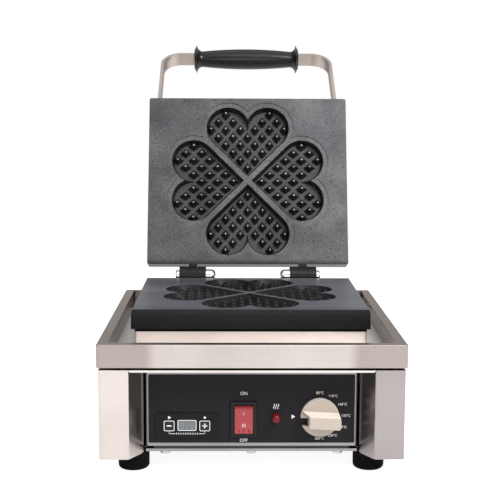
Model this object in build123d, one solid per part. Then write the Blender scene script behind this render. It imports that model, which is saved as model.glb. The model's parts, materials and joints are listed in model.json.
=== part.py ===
from build123d import *
import math
import os

# Electric waffle maker with a heart-pattern cast plate pair, lid shown open.
# Millimetres. X to the right, Y to the rear, Z up.
# The origin is on the worktop, midway between the four feet.

# Casing
tray_side_margin = 25.5
tray_rear_margin = 24.0
tray_overhang = 1.5
foot_height = 17.0
body_height = 86.0
tray_gap = 2.5
skirt_height = 22.0
pan_depth = 20.0
rim_width = 10.0
sheet = 1.2
bend_radius = 2.5
fit_gap = 0.3
screw_gap = 0.05
hex_sides = 6
top_flange = 20.0
bottom_flange = 14.0
rear_flange = 16.0
post_width = 28.0
reveal_inset = 12.7
panel_recess = 24.0
panel_side_gap = 2.0
panel_return = 12.0
panel_bottom_rise = 6.6
rail_lip = 2.2
lip_height = 2.6
vent_slot_length = 26.0
vent_slot_height = 3.0
vent_pitch = 7.5
vent_rows = 5
vent_rise = 42.0

# Feet and casing fasteners
foot_radius = 15.0
foot_edge_radius = 4.0
foot_side_margin = 30.5
foot_end_margin = 31.5
foot_well_radius = 6.0
foot_well_depth = 8.0
foot_pad_depth = 34.0
m5_radius = 2.5
m4_radius = 2.0
m6_radius = 3.0
head_ratio = 1.9
head_height_ratio = 0.62
recess_width_ratio = 0.34
recess_depth_ratio = 0.55
nut_flats_ratio = 3.3
nut_height_ratio = 1.6
bottom_screw_margin = 15.7
nut_bar_margin = 5.0
nut_bar_depth = 8.0
rear_screw_margin = 8.0
rear_screw_rise = 14.0
screw_grip = 6.0
seal_width = 10.0
tray_stud_margin = 48.0
stud_tail = 3.0

# Cast plates
plate_width = 240.0
plate_depth = 206.0
plate_thickness = 19.8
plate_setback = 80.0
plate_rise = 18.3
plate_corner = 2.5
lower_bevel_width = 5.0
lower_bevel_drop = 1.6
clover_reach = 92.0
lobe_radius = 26.5
heart_rib = 5.7
pocket_depth = 10.5
pocket_draft = 3.2
border_width = 5.4
border_depth = 1.0
stud_pitch_across = 8.9
stud_pitch_along = 9.7
stud_first = 17.0
stud_half_across = 5.9
stud_half_along = 7.4
stud_sunk = 1.9
stud_taper = 23.0
stud_margin = 2.7
stud_steps = 6

# Hinge
hinge_setback = 14.0
closed_gap = 0.4
lid_open_angle = 108.0
hinge_side_margin = 54.6
lug_radius = 11.0
lug_width = 10.4
tongue_width = 9.8
lug_gap = 0.4
hinge_bolt_radius = 4.0
running_gap = 0.05
stop_gap = 0.3
heel_height = 8.0
washer_radius = 8.0
washer_height = 1.0
dome_nut_radius = 7.6
dome_nut_length = 10.5
bolt_head_radius = 6.5
bolt_head_height = 4.5
bolt_head_edge = 1.5
dome_radius = 5.2

# Pedestal and heaters
pedestal_inset = 3.5
gasket_thickness = 3.0
gasket_width = 14.0
element_radius = 4.0
element_gap = 0.05
element_side_margin = 36.0
element_end_margin = 45.0
element_bend = 20.0
element_inner_half = 28.0
terminal_length = 12.0
clamp_side_margin = 23.0
clamp_end_margin = 30.0
clamp_thickness = 2.0
clamp_stud_inset_x = 41.0
clamp_stud_inset_y = 37.0
stud_sink = 4.0
insulation_side_margin = 20.0
insulation_end_margin = 29.0
lower_insulation_height = 9.0
upper_insulation_height = 30.0
insulation_hole_radius = 8.0
deck_hole_margin = 4.0
plate_bolt_margin = 7.0

# Lid cover and handle
cover_side_margin = 10.0
cover_rear_margin = 12.0
cover_front_margin = 3.0
cover_height = 50.0
cover_edge_radius = 3.0
pillar_radius = 5.0
pillar_side_margin = 14.0
pillar_margin = 10.0
strap_width = 17.0
strap_thickness = 4.0
strap_bend = 28.0
strap_foot_margin = 22.0
strap_foot_rise = 30.0
strap_reach = 164.3
handle_angle = 40.0
handle_screw_pitch = 17.0
grip_length = 140.0
grip_middle_radius = 13.5
grip_neck_radius = 10.4
grip_neck_inset = 10.5
grip_flange_radius = 19.0
grip_flange_inset = 3.6
grip_end_radius = 12.6
grip_slot_gap = 0.1
grip_curl_rise = 1.4

# Control panel
overlay_side_margin = 2.6
overlay_bottom_margin = 3.1
overlay_top_margin = 8.1
overlay_thickness = 0.6
overlay_corner = 1.5
control_rise = 35.5
knob_x = 65.2
knob_radius = 18.6
knob_thickness = 4.5
knob_height = 24.5
knob_edge_radius = 1.0
knob_bar_width = 11.6
knob_bar_back = 11.5
knob_bar_radius = 0.8
knob_web = 1.4
knob_notch_width = 7.8
knob_notch_drop = 0.9
knob_notch_depth = 7.7
knob_hollow_radius = 15.6
knob_hollow_depth = 2.6
knob_hub_radius = 6.0
knob_bore_depth = 15.0
knob_panel_gap = 0.6
knob_rest_turn = 3.0
shaft_radius = 3.0
shaft_hole_radius = 5.0
shaft_reach = 14.0
thermostat_side = 34.0
thermostat_length = 24.0
thermostat_screw_offset = 11.0
flat_head_height = 1.6
lamp_x = 23.3
lamp_radius = 4.1
lamp_reach = 12.0
lamp_dome_radius = 3.7
lamp_body_radius = 6.5
lamp_body_length = 20.0
switch_x = -7.5
switch_rise = 33.0
switch_bezel_width = 26.0
switch_bezel_height = 35.0
switch_bezel_thickness = 2.2
switch_bezel_radius = 1.2
switch_cut_width = 22.0
switch_cut_height = 31.5
switch_body_depth = 24.0
rocker_width = 17.4
rocker_half_length = 13.2
rocker_gap = 0.4
rocker_swing_room = 1.1
rocker_end_rise = 4.0
rocker_middle_rise = 1.6
rocker_skirt = 3.0
rocker_pivot_depth = 1.6
rocker_tilt = 10.0
rocker_well = 9.0
rocker_pin_radius = 1.5
rocker_pin_length = 1.3
tag_width = 6.3
tag_thickness = 0.8
tag_length = 8.0
timer_x = -61.8
timer_rise = 27.2
timer_width = 60.6
timer_height = 24.2
timer_thickness = 1.6
timer_corner = 1.2
timer_cut_margin = 2.3
button_side = 10.6
button_offset = 17.0
button_gap = 0.3
button_proud = 1.4
button_flange = 0.8
button_flange_thickness = 1.0
button_travel = 0.8
display_width = 18.5
display_height = 11.0
display_sink = 0.3
timer_case_depth = 16.0
timer_case_margin = 1.5

# Thermostat sensor, supply entry
bulb_radius = 3.0
bulb_length = 44.0
bulb_x = 0.0
capillary_radius = 1.2
capillary_bend = 8.0
capillary_rise = 14.0
capillary_clear = 5.0
gland_inset = 48.0
gland_rise = 30.0
gland_bore_radius = 4.6
gland_thread_radius = 8.0
gland_cap_radius = 11.5
gland_cap_length = 17.0
gland_cap_fillet = 2.5
gland_thread_length = 12.0
gland_nut_flats = 22.0
gland_nut_height = 4.0
bush_inset = 82.0
bush_rise = 70.0
bush_bore_radius = 4.0
bush_radius = 8.0
bush_neck_radius = 5.8
bush_flange = 2.0
lid_bush_rise = 28.0
block_length = 52.0
block_width = 22.0
block_height = 18.0
block_inset_x = 70.0
block_inset_y = 67.5
block_poles = 3
block_well_radius = 3.0
block_well_depth = 9.0
block_screw_margin = 4.5
block_end = 9.0

# Levels and faces worked out from the sizes above
tray_width = plate_width + 2 * tray_side_margin
tray_depth = plate_setback + plate_depth + tray_rear_margin
front = -tray_depth / 2
rear = tray_depth / 2
body_half = tray_width / 2 - tray_overhang
body_front = front + tray_overhang
body_rear = rear - tray_overhang
wall_rear = body_rear - sheet
body_bottom = foot_height
body_top = body_bottom + body_height
foot_centre_x = body_half - foot_side_margin
foot_centre_y = body_rear - foot_end_margin
floor_bottom = body_bottom + sheet
floor_top = floor_bottom + sheet
skirt_bottom = body_top + tray_gap
rim_top = skirt_bottom + skirt_height
deck_top = rim_top - pan_depth
deck_bottom = deck_top - sheet
panel_y = front + panel_recess
panel_back = panel_y + sheet
panel_bottom = body_bottom + panel_bottom_rise
overlay_front = panel_y - overlay_thickness
overlay_bottom = panel_bottom + overlay_bottom_margin
overlay_top = body_top - sheet - overlay_top_margin
post_inner = body_half - post_width
reveal_half = post_inner - reveal_inset
panel_half = reveal_half - panel_side_gap
overlay_half_width = panel_half - overlay_side_margin
bottom_screw_spread = overlay_half_width - bottom_screw_margin
tab_end = panel_y + panel_return
plate_front = front + plate_setback
plate_back = plate_front + plate_depth
plate_middle = (plate_front + plate_back) / 2
plate_top = rim_top + plate_rise
plate_bottom = plate_top - plate_thickness
pedestal_top = plate_bottom - gasket_thickness
pedestal_half = plate_width / 2 - pedestal_inset
pedestal_front = plate_front + pedestal_inset
pedestal_back = plate_back - pedestal_inset
hinge_y = plate_back + hinge_setback
hinge_spread = plate_width / 2 - hinge_side_margin
hinge_z = plate_top + closed_gap / 2
control_z = body_bottom + control_rise
switch_z = body_bottom + switch_rise
timer_z = body_bottom + timer_rise
stud_height = pocket_depth - stud_sunk
lobe_along = clover_reach - lobe_radius
lobe_across = lobe_along - math.sqrt(2) * (lobe_radius + heart_rib / 2)
lug_outer = tongue_width / 2 + lug_gap + lug_width
element_half_width = plate_width / 2 - element_side_margin
element_half_depth = plate_depth / 2 - element_end_margin
element_level = element_radius + element_gap
clamp_level = 2 * element_level
clamp_width = plate_width - 2 * clamp_side_margin
clamp_depth = plate_depth - 2 * clamp_end_margin
clamp_stud_x = clamp_width / 2 - clamp_stud_inset_x
clamp_stud_y = clamp_depth / 2 - clamp_stud_inset_y
timer_pocket = button_travel + button_flange_thickness
insulation_level = clamp_level + clamp_thickness + fit_gap
insulation_width = plate_width - 2 * insulation_side_margin
insulation_depth = plate_depth - 2 * insulation_end_margin
plate_back_level = closed_gap / 2 + plate_thickness
cover_width = plate_width - 2 * cover_side_margin
cover_start = hinge_setback + cover_rear_margin
cover_end = hinge_setback + plate_depth - cover_front_margin
cover_top_level = plate_back_level + cover_height
pillar_x = cover_width / 2 - pillar_side_margin
strap_foot_along = cover_end - strap_foot_margin
block_x = block_inset_x - body_half
block_y = body_rear - block_inset_y
gland_x = gland_inset - body_half
bush_x = body_half - bush_inset
quarter_turns = (0, 90, 180, 270)
sides = (-1, 1)


def block(x0, x1, y0, y1, z0, z1):
    """Box between two corners."""
    centre = Pos((x0 + x1) / 2, (y0 + y1) / 2, (z0 + z1) / 2)
    return centre * Box(x1 - x0, y1 - y0, z1 - z0)


def rod(radius, start, direction, length):
    """Round bar from a point along a direction."""
    return Solid.make_cylinder(radius, length, Plane(origin=start, z_dir=direction))


def along(start, direction, distance):
    """Point at a distance from a start along a unit direction."""
    return tuple(s + d * distance for s, d in zip(start, direction))


def pan_screw(start, direction, radius, length):
    """Pan-head screw whose head seats at start and whose shank runs along direction."""
    head_radius = radius * head_ratio
    head_height = 2 * radius * head_height_ratio
    back = tuple(-d for d in direction)
    seat = Plane(origin=start, z_dir=back)
    head = extrude(Circle(head_radius), amount=head_height)
    head = fillet(head.edges().group_by(Axis.Z)[-1], head_height / 2)
    slot_depth = head_height * recess_depth_ratio
    slot_width = radius * recess_width_ratio * 2
    lift = Pos(0, 0, head_height - slot_depth / 2)
    for turn in quarter_turns[:2]:
        head -= lift * Rot(0, 0, turn) * Box(slot_width, head_radius, slot_depth)
    shank = Pos(0, 0, -length / 2) * Cylinder(radius, length)
    return seat * (head + shank)


def hex_ring(flats, bore_radius, height):
    """Bored hexagon prism standing on z = 0."""
    outline = RegularPolygon(flats / 2, hex_sides, major_radius=False) - Circle(bore_radius)
    return extrude(outline, amount=height)


def hex_nut(start, direction, radius):
    """Hexagon nut that seats at start and stands along direction."""
    nut = hex_ring(radius * nut_flats_ratio, radius + screw_gap, radius * nut_height_ratio)
    return Plane(origin=start, z_dir=direction) * nut


def hole(start, direction, radius, length):
    """Clearance hole for a screw or stud, cut from start along direction."""
    return rod(radius + screw_gap, start, direction, length)


def ring_frame(half_x, y0, y1, width, z0, z1):
    """Flat rectangular frame of one width all round."""
    outer = block(-half_x, half_x, y0, y1, z0, z1)
    return outer - block(-half_x + width, half_x - width, y0 + width, y1 - width, z0, z1)


def bent_strip(points, radius, thickness, side):
    """Outline of a strip of sheet bent along a path, with its thickness on one side."""
    path = FilletPolyline(*points, radius=radius)
    return make_face(offset(path, amount=thickness, side=side))


# Casing


def foot_places():
    """Centres of the four feet in plan."""
    return [(sx * foot_centre_x, sy * foot_centre_y) for sx in sides for sy in sides]


def tray_stud_places():
    """Centres of the tray's fixing studs in plan."""
    x = body_half - top_flange + seal_width / 2
    return [(sx * x, sy * (rear - tray_stud_margin)) for sx in sides for sy in sides]


def right_side_panel():
    """Folded side wall with its front post, slanted reveal, flanges and foot pads."""
    points = [
        (body_half - rear_flange, wall_rear),
        (body_half, wall_rear),
        (body_half, body_front),
        (post_inner, body_front),
        (reveal_half, panel_y),
        (reveal_half, tab_end),
    ]
    outline = bent_strip(points, bend_radius, sheet, Side.RIGHT)
    panel = Pos(0, 0, body_bottom) * extrude(outline, amount=body_height)
    wall = body_half - sheet
    y0 = body_front + sheet
    y1 = wall_rear - sheet
    panel += block(body_half - top_flange, wall, y0, y1, body_top - sheet, body_top)
    panel += block(body_half - bottom_flange, wall, y0, y1, body_bottom, floor_bottom)
    front_pad = [
        (wall, y0),
        (post_inner, y0),
        (reveal_half + sheet, panel_y),
        (reveal_half + sheet, foot_pad_depth - foot_centre_y),
        (wall, foot_pad_depth - foot_centre_y),
    ]
    pad = extrude(make_face(Polyline(*front_pad, close=True)), amount=sheet)
    panel += Pos(0, 0, body_bottom) * pad
    rear_pad_y = foot_centre_y - foot_pad_depth
    panel += block(reveal_half, wall, rear_pad_y, y1, body_bottom, floor_bottom)
    for x, y in foot_places():
        panel -= hole((x, y, body_bottom), (0, 0, 1), m5_radius, sheet)
    for x, y in tray_stud_places():
        panel -= hole((x, y, body_top - sheet), (0, 0, 1), m4_radius, sheet)
    for start in rear_screw_places():
        panel -= hole(start, (0, -1, 0), m4_radius, 2 * sheet)
    return panel


def rear_screw_places():
    """Seats of the rear panel's screws, three down each side."""
    x = body_half - rear_screw_margin
    levels = (body_bottom + rear_screw_rise, body_top - body_height / 2, body_top - rear_screw_rise)
    return [(side * x, body_rear, z) for side in sides for z in levels]


def rear_panel():
    """Flat rear wall with a top flange, vent slots and the two cable entries."""
    half = body_half - bend_radius
    panel = block(-half, half, wall_rear, body_rear, body_bottom, body_top)
    flange_half = body_half - top_flange - fit_gap
    flange_front = body_rear - top_flange
    panel += block(-flange_half, flange_half, flange_front, wall_rear, body_top - sheet, body_top)
    slot = SlotOverall(vent_slot_length, vent_slot_height)
    wall = Plane(origin=(0, body_rear, 0), x_dir=(1, 0, 0), z_dir=(0, -1, 0))
    for row in range(vent_rows):
        z = body_bottom + vent_rise + (row - vent_rows // 2) * vent_pitch
        panel -= wall * (Pos(0, z, 0) * extrude(slot, amount=sheet))
    panel -= rod(gland_thread_radius + running_gap, gland_seat(), (0, -1, 0), sheet)
    panel -= rod(bush_neck_radius, rear_bush_seat(), (0, -1, 0), sheet)
    for start in rear_screw_places():
        panel -= hole(start, (0, -1, 0), m4_radius, sheet)
    return panel


def bottom_plate():
    """Floor sheet on the side panels' flanges, with an upturned lip at the front."""
    wide = body_half - sheet - fit_gap
    narrow = panel_half
    y1 = wall_rear - bend_radius - fit_gap
    plate = block(-wide, wide, tab_end + fit_gap, y1, floor_bottom, floor_top)
    plate += block(-narrow, narrow, panel_y, tab_end + 2 * fit_gap, floor_bottom, floor_top)
    plate += block(-narrow, narrow, panel_y, panel_back, floor_bottom, floor_bottom + lip_height)
    for x, y in foot_places():
        plate -= rod(foot_well_radius, (x, y, floor_bottom), (0, 0, 1), sheet)
    for start in bottom_screw_places():
        plate -= hole(start, (0, 0, 1), m5_radius, sheet)
    for start in block_screw_places():
        plate -= hole(along(start, (0, 0, -1), block_height + sheet), (0, 0, 1), m4_radius, sheet)
    return plate


def bottom_screw_places():
    """Seats of the three screws under the front lip."""
    y = panel_back + nut_bar_depth / 2
    return [(i * bottom_screw_spread, y, floor_bottom) for i in (-1, 0, 1)]


def nut_bar():
    """Threaded bar between the floor sheet and the control panel's lower return."""
    half = overlay_half_width - nut_bar_margin
    bar = block(-half, half, panel_back, panel_back + nut_bar_depth, floor_top, panel_bottom)
    for start in bottom_screw_places():
        bar -= hole(start, (0, 0, 1), m5_radius, panel_bottom - floor_bottom)
    return bar


def bottom_screws():
    """Three pan-head screws from below into the threaded bar."""
    length = panel_bottom - floor_bottom
    return [pan_screw(start, (0, 0, 1), m5_radius, length) for start in bottom_screw_places()]


def rear_screws():
    """Pan-head screws that hold the rear panel to the side panels."""
    return [pan_screw(start, (0, -1, 0), m4_radius, screw_grip) for start in rear_screw_places()]


def front_rail():
    """Ceiling of the control recess, with a turned-down front edge."""
    front_half = post_inner - fit_gap
    back_half = reveal_half - fit_gap
    plan = [
        (-front_half, body_front),
        (front_half, body_front),
        (back_half, panel_y),
        (back_half, tab_end),
        (-back_half, tab_end),
        (-back_half, panel_y),
    ]
    rail = extrude(make_face(Polyline(*plan, close=True)), amount=sheet)
    rail = Pos(0, 0, body_top - sheet) * rail
    lip_half = front_half - sheet
    return rail + block(-lip_half, lip_half, body_front, body_front + sheet, body_top - rail_lip, body_top)


def control_panel():
    """Folded steel panel set back between the posts, cut out for the controls."""
    points = [
        (-panel_half, tab_end),
        (-panel_half, panel_y),
        (panel_half, panel_y),
        (panel_half, tab_end),
    ]
    top = body_top - sheet
    outline = bent_strip(points, bend_radius, sheet, Side.LEFT)
    panel = Pos(0, 0, panel_bottom) * extrude(outline, amount=top - panel_bottom)
    inner = panel_half - sheet
    panel += block(-inner, inner, panel_back, tab_end, panel_bottom, panel_bottom + sheet)
    for start in bottom_screw_places():
        panel -= hole(start, (0, 0, 1), m5_radius, panel_bottom + sheet - floor_bottom)
    return panel - control_cutouts(panel_y, sheet)


def control_cutouts(y, depth):
    """Holes for the shaft, its screws, the lamp, the switch and the timer."""
    y1 = y + depth
    half_w = switch_cut_width / 2
    half_h = switch_cut_height / 2
    cuts = [rod(shaft_hole_radius, (knob_x, y, control_z), (0, 1, 0), depth)]
    for side in sides:
        start = (knob_x, y, control_z + side * thermostat_screw_offset)
        cuts.append(hole(start, (0, 1, 0), m4_radius, depth))
    cuts.append(rod(lamp_radius + running_gap, (lamp_x, y, control_z), (0, 1, 0), depth))
    cuts.append(block(switch_x - half_w, switch_x + half_w, y, y1, switch_z - half_h, switch_z + half_h))
    cuts.append(timer_block(timer_cut_margin, y, y1))
    return cuts


def timer_block(margin, y0, y1):
    """Box of the timer's outline, drawn in by a margin."""
    half_w = timer_width / 2 - margin
    half_h = timer_height / 2 - margin
    return block(timer_x - half_w, timer_x + half_w, y0, y1, timer_z - half_h, timer_z + half_h)


def panel_overlay():
    """Thin black facing with the control printing."""
    half = overlay_half_width
    facing = block(-half, half, overlay_front, panel_y, overlay_bottom, overlay_top)
    facing = fillet(facing.edges().filter_by(Axis.Y), overlay_corner)
    return facing - control_cutouts(overlay_front, overlay_thickness)


def rubber_feet():
    """Four round feet with a rounded lower edge and a well for the screw."""
    feet = []
    for x, y in foot_places():
        foot = extrude(Circle(foot_radius), amount=foot_height)
        foot = fillet(foot.edges().group_by(Axis.Z)[0], foot_edge_radius)
        foot -= rod(foot_well_radius, (0, 0, 0), (0, 0, 1), foot_well_depth)
        foot -= hole((0, 0, 0), (0, 0, 1), m5_radius, foot_height)
        feet.append(Pos(x, y, 0) * foot)
    return feet


def foot_screws():
    """Screws up through the feet."""
    nut_height = m5_radius * nut_height_ratio
    length = foot_height - foot_well_depth + sheet + nut_height
    return [pan_screw((x, y, foot_well_depth), (0, 0, 1), m5_radius, length) for x, y in foot_places()]


def foot_nuts():
    """Nuts of the foot screws, on the side panels' pads."""
    return [hex_nut((x, y, floor_bottom), (0, 0, 1), m5_radius) for x, y in foot_places()]


def top_tray():
    """Drip tray: deck, upstand, flat rim and outer skirt, with a hole under the plate."""
    half_w = tray_width / 2
    tray = block(-half_w, half_w, front, rear, skirt_bottom, rim_top)
    tray = fillet(tray.edges().filter_by(Axis.Z), bend_radius)
    tray = fillet(tray.faces().sort_by(Axis.Z)[-1].edges(), sheet)
    pan_w = half_w - rim_width
    pan = block(-pan_w, pan_w, front + rim_width, rear - rim_width, deck_top, rim_top)
    tray -= fillet(pan.edges().filter_by(Axis.Z), bend_radius)
    hollow_w = half_w - sheet
    hollow = block(
        -hollow_w, hollow_w, front + sheet, rear - sheet, skirt_bottom, rim_top - sheet
    )
    core_w = pan_w + sheet
    core_y = rear - rim_width + sheet
    hollow -= block(-core_w, core_w, -core_y, core_y, deck_bottom, rim_top)
    tray -= hollow
    hole_x = insulation_width / 2 + deck_hole_margin
    hole_y = insulation_depth / 2 + deck_hole_margin + capillary_clear
    y0 = plate_middle - hole_y
    y1 = plate_middle + hole_y
    return tray - block(-hole_x, hole_x, y0, y1, deck_bottom, deck_top)


def tray_seal():
    """Dark strip between the casing's flanges and the tray's deck."""
    half_x = body_half - top_flange + seal_width
    end_y = rear - rim_width - sheet
    seal = ring_frame(half_x, -end_y, end_y, seal_width, body_top, deck_bottom)
    for x, y in tray_stud_places():
        seal -= hole((x, y, body_top), (0, 0, 1), m4_radius, deck_bottom - body_top)
    return seal


def tray_studs():
    """Weld studs under the deck, through the seal and the casing's flanges."""
    length = deck_bottom - body_top + sheet + m4_radius * nut_height_ratio + stud_tail
    return [rod(m4_radius, (x, y, deck_bottom), (0, 0, -1), length) for x, y in tray_stud_places()]


def tray_nuts():
    """Nuts of the tray's studs, under the casing's flanges."""
    z = body_top - sheet
    return [hex_nut((x, y, z), (0, 0, -1), m4_radius) for x, y in tray_stud_places()]


# Cast plates


def heart_polygon(inset):
    """Straight-sided part of a heart, tip at the clover's centre, drawn in by an inset."""
    reach = (lobe_radius - inset) / math.sqrt(2)
    points = [
        (0, (heart_rib + 2 * inset) / math.sqrt(2)),
        (lobe_across + reach, lobe_along - reach),
        (lobe_across, lobe_along),
        (-lobe_across, lobe_along),
        (-lobe_across - reach, lobe_along - reach),
    ]
    return make_face(Polyline(*points, close=True))


def heart_outline(inset):
    """Flat heart drawn in by an inset, or out by a negative one."""
    outline = heart_polygon(inset)
    for side in sides:
        outline += Pos(side * lobe_across, lobe_along) * Circle(lobe_radius - inset)
    return outline


def heart_pocket():
    """Drafted heart-shaped hollow below the plate's face."""
    floor = Pos(0, 0, -pocket_depth)
    pocket = loft([heart_polygon(0), floor * heart_polygon(pocket_draft)], ruled=True)
    for side in sides:
        lobe = Cone(lobe_radius - pocket_draft, lobe_radius, pocket_depth)
        pocket += Pos(side * lobe_across, lobe_along, -pocket_depth / 2) * lobe
    return pocket


def inside_heart(across, along_axis):
    """True where a stud stands clear of the heart's walls."""
    room = lobe_radius - pocket_draft - stud_margin
    lobe = math.hypot(abs(across) - lobe_across, along_axis - lobe_along) <= room
    rib = heart_rib / 2 + pocket_draft + stud_margin
    wedge = along_axis <= lobe_along and (along_axis - abs(across)) / math.sqrt(2) >= rib
    return lobe or wedge


def heart_studs():
    """Blunt diamond pyramids on a staggered lattice over a heart's floor."""
    points = [
        (stud_half_across, 0),
        (0, stud_half_along),
        (-stud_half_across, 0),
        (0, -stud_half_along),
    ]
    diamond = make_face(Polyline(*points, close=True))
    stud = extrude(diamond, amount=stud_height, taper=stud_taper)
    studs = []
    for column in range(-stud_steps, stud_steps + 1):
        for row in range(2 * stud_steps):
            across = column * stud_pitch_across
            along_axis = stud_first + row * stud_pitch_along
            if (column + row) % 2 == 0 and inside_heart(across, along_axis):
                studs.append(Pos(across, along_axis, -pocket_depth) * stud)
    return studs


def plate_casting():
    """Plate with its face at z = 0 and its hinge edge at y = 0, hearts sunk into the face."""
    half_w = plate_width / 2
    slab = block(-half_w, half_w, -plate_depth, 0, -plate_thickness, 0)
    slab = fillet(slab.edges().filter_by(Axis.Z), plate_corner)
    middle = Pos(0, -plate_depth / 2, 0)
    pocket = heart_pocket()
    studs = heart_studs()
    slab -= [middle * Rot(0, 0, turn) * pocket for turn in quarter_turns]
    return slab + [middle * Rot(0, 0, turn) * stud for turn in quarter_turns for stud in studs]


def clover_border():
    """Shallow sunk border round all four hearts."""
    heart = heart_outline(-border_width)
    border = heart + [Rot(0, 0, turn) * heart for turn in quarter_turns[1:]]
    return Pos(0, -plate_depth / 2, 0) * extrude(border, amount=-border_depth)


def hinge_eye(x0, x1, root_bottom, root_top):
    """Eye round the hinge axis with a root that runs forward to the plate's edge."""
    eye = rod(lug_radius, (x0, 0, 0), (1, 0, 0), x1 - x0)
    return eye + block(x0, x1, -hinge_setback - fit_gap, 0, root_bottom, root_top)


def hinge_bore(x):
    """Bore of one hinge, through all its eyes."""
    return rod(hinge_bolt_radius + running_gap, (x - lug_outer, 0, 0), (1, 0, 0), 2 * lug_outer)


def lower_plate():
    """Fixed plate: bevelled top edge, hearts, and two pairs of hinge eyes."""
    casting = plate_casting()
    face = casting.faces().filter_by(Axis.Z).sort_by(Axis.Z)[-1]
    rim = face.outer_wire().edges()
    casting = chamfer(rim, lower_bevel_drop, lower_bevel_width, reference=face)
    casting = Pos(0, -hinge_setback, -closed_gap / 2) * casting
    inner = tongue_width / 2 + lug_gap
    for side in sides:
        x = side * hinge_spread
        for x0, x1 in ((x - lug_outer, x - inner), (x + inner, x + lug_outer)):
            casting += hinge_eye(x0, x1, -lug_radius, -closed_gap / 2 - lower_bevel_drop)
        casting -= hinge_bore(x)
    casting = Pos(0, hinge_y, hinge_z) * casting
    for x, y in plate_bolt_places():
        casting -= hole((x, y, plate_bottom), (0, 0, 1), m6_radius, screw_grip)
    for x, y in clamp_stud_places():
        place = (x, plate_middle + y, plate_bottom)
        casting -= hole(place, (0, 0, 1), m6_radius, stud_sink)
    return casting


def upper_plate():
    """Lid plate with the lid closed: hearts and border face down, tongues and stop heels behind."""
    casting = plate_casting() - clover_border()
    casting = Pos(0, -hinge_setback, closed_gap / 2) * Rot(0, 180, 0) * casting
    half = tongue_width / 2
    for side in sides:
        x = side * hinge_spread
        tongue = hinge_eye(x - half, x + half, closed_gap / 2, lug_radius)
        reach = hinge_setback - stop_gap
        heel = block(x - half, x + half, -reach, 0, -heel_height, 0)
        tongue += Rot(lid_open_angle, 0, 0) * heel
        casting = casting + tongue - hinge_bore(x)
    for x, y in clamp_stud_places():
        place = (x, lid_middle() + y, plate_back_level)
        casting -= hole(place, (0, 0, -1), m6_radius, stud_sink)
    return casting


def lid_middle():
    """Plate centre in the closed lid's own frame, whose origin is the hinge axis."""
    return -hinge_setback - plate_depth / 2


def open_lid(shape):
    """Swing a piece of the closed lid up to where it rests open."""
    return Pos(0, hinge_y, hinge_z) * Rot(-lid_open_angle, 0, 0) * shape


# Hinge pins


def hinge_bolts():
    """Bolts through the hinge eyes, heads on the outer sides."""
    bolts = []
    for side in sides:
        start = (side * (hinge_spread + lug_outer), hinge_y, hinge_z)
        inward = (-side, 0, 0)
        length = 2 * lug_outer + washer_height + dome_nut_length / 2
        head = rod(bolt_head_radius, start, (side, 0, 0), bolt_head_height)
        head = fillet(head.edges().group_by(Axis.X)[-1 if side > 0 else 0], bolt_head_edge)
        bolts.append(head + rod(hinge_bolt_radius, start, inward, length))
    return bolts


def hinge_washers():
    """Flat washers under the dome nuts."""
    washers = []
    for side in sides:
        start = (side * (hinge_spread - lug_outer), hinge_y, hinge_z)
        disc = rod(washer_radius, start, (-side, 0, 0), washer_height)
        washers.append(disc - hole(start, (-side, 0, 0), hinge_bolt_radius, washer_height))
    return washers


def hinge_dome_nuts():
    """Dome nuts on the inner sides of the hinges."""
    nuts = []
    for side in sides:
        inward = (-side, 0, 0)
        start = (side * (hinge_spread - lug_outer - washer_height), hinge_y, hinge_z)
        nut = rod(dome_nut_radius, start, inward, dome_nut_length)
        tip = nut.edges().group_by(Axis.X)[0 if side > 0 else -1]
        nut = fillet(tip, dome_radius)
        nuts.append(nut - hole(start, inward, hinge_bolt_radius, dome_nut_length / 2 + screw_gap))
    return nuts


# Pedestal and heaters


def plate_bolt_places():
    """Corner bolts of the lower plate in plan."""
    x = pedestal_half - plate_bolt_margin
    y0 = pedestal_front + plate_bolt_margin
    y1 = pedestal_back - plate_bolt_margin
    return [(side * x, y) for side in sides for y in (y0, y1)]


def clamp_stud_places():
    """Heater clamp studs, measured from the plate's centre."""
    return [(sx * clamp_stud_x, sy * clamp_stud_y) for sx in sides for sy in sides]


def plate_pedestal():
    """Raised steel box on the deck with an open top under the heater."""
    shell = block(-pedestal_half, pedestal_half, pedestal_front, pedestal_back, deck_top, pedestal_top)
    shell = fillet(shell.edges().filter_by(Axis.Z), bend_radius)
    inner = pedestal_half - sheet
    y0 = pedestal_front + sheet
    y1 = pedestal_back - sheet
    shell -= block(-inner, inner, y0, y1, deck_top, pedestal_top - sheet)
    mouth = pedestal_half - gasket_width
    y0 = pedestal_front + gasket_width
    y1 = pedestal_back - gasket_width
    shell -= block(-mouth, mouth, y0, y1, pedestal_top - sheet, pedestal_top)
    for x, y in plate_bolt_places():
        shell -= hole((x, y, pedestal_top - sheet), (0, 0, 1), m6_radius, sheet)
    return shell


def plate_gasket():
    """Black heat-proof frame between the pedestal and the plate."""
    gasket = ring_frame(
        pedestal_half, pedestal_front, pedestal_back, gasket_width, pedestal_top, plate_bottom
    )
    for x, y in plate_bolt_places():
        gasket -= hole((x, y, pedestal_top), (0, 0, 1), m6_radius, gasket_thickness)
    return gasket


def plate_bolts():
    """Bolts up through the pedestal and gasket into the lower plate."""
    length = sheet + gasket_thickness + screw_grip
    z = pedestal_top - sheet
    return [pan_screw((x, y, z), (0, 0, 1), m6_radius, length) for x, y in plate_bolt_places()]


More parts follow.
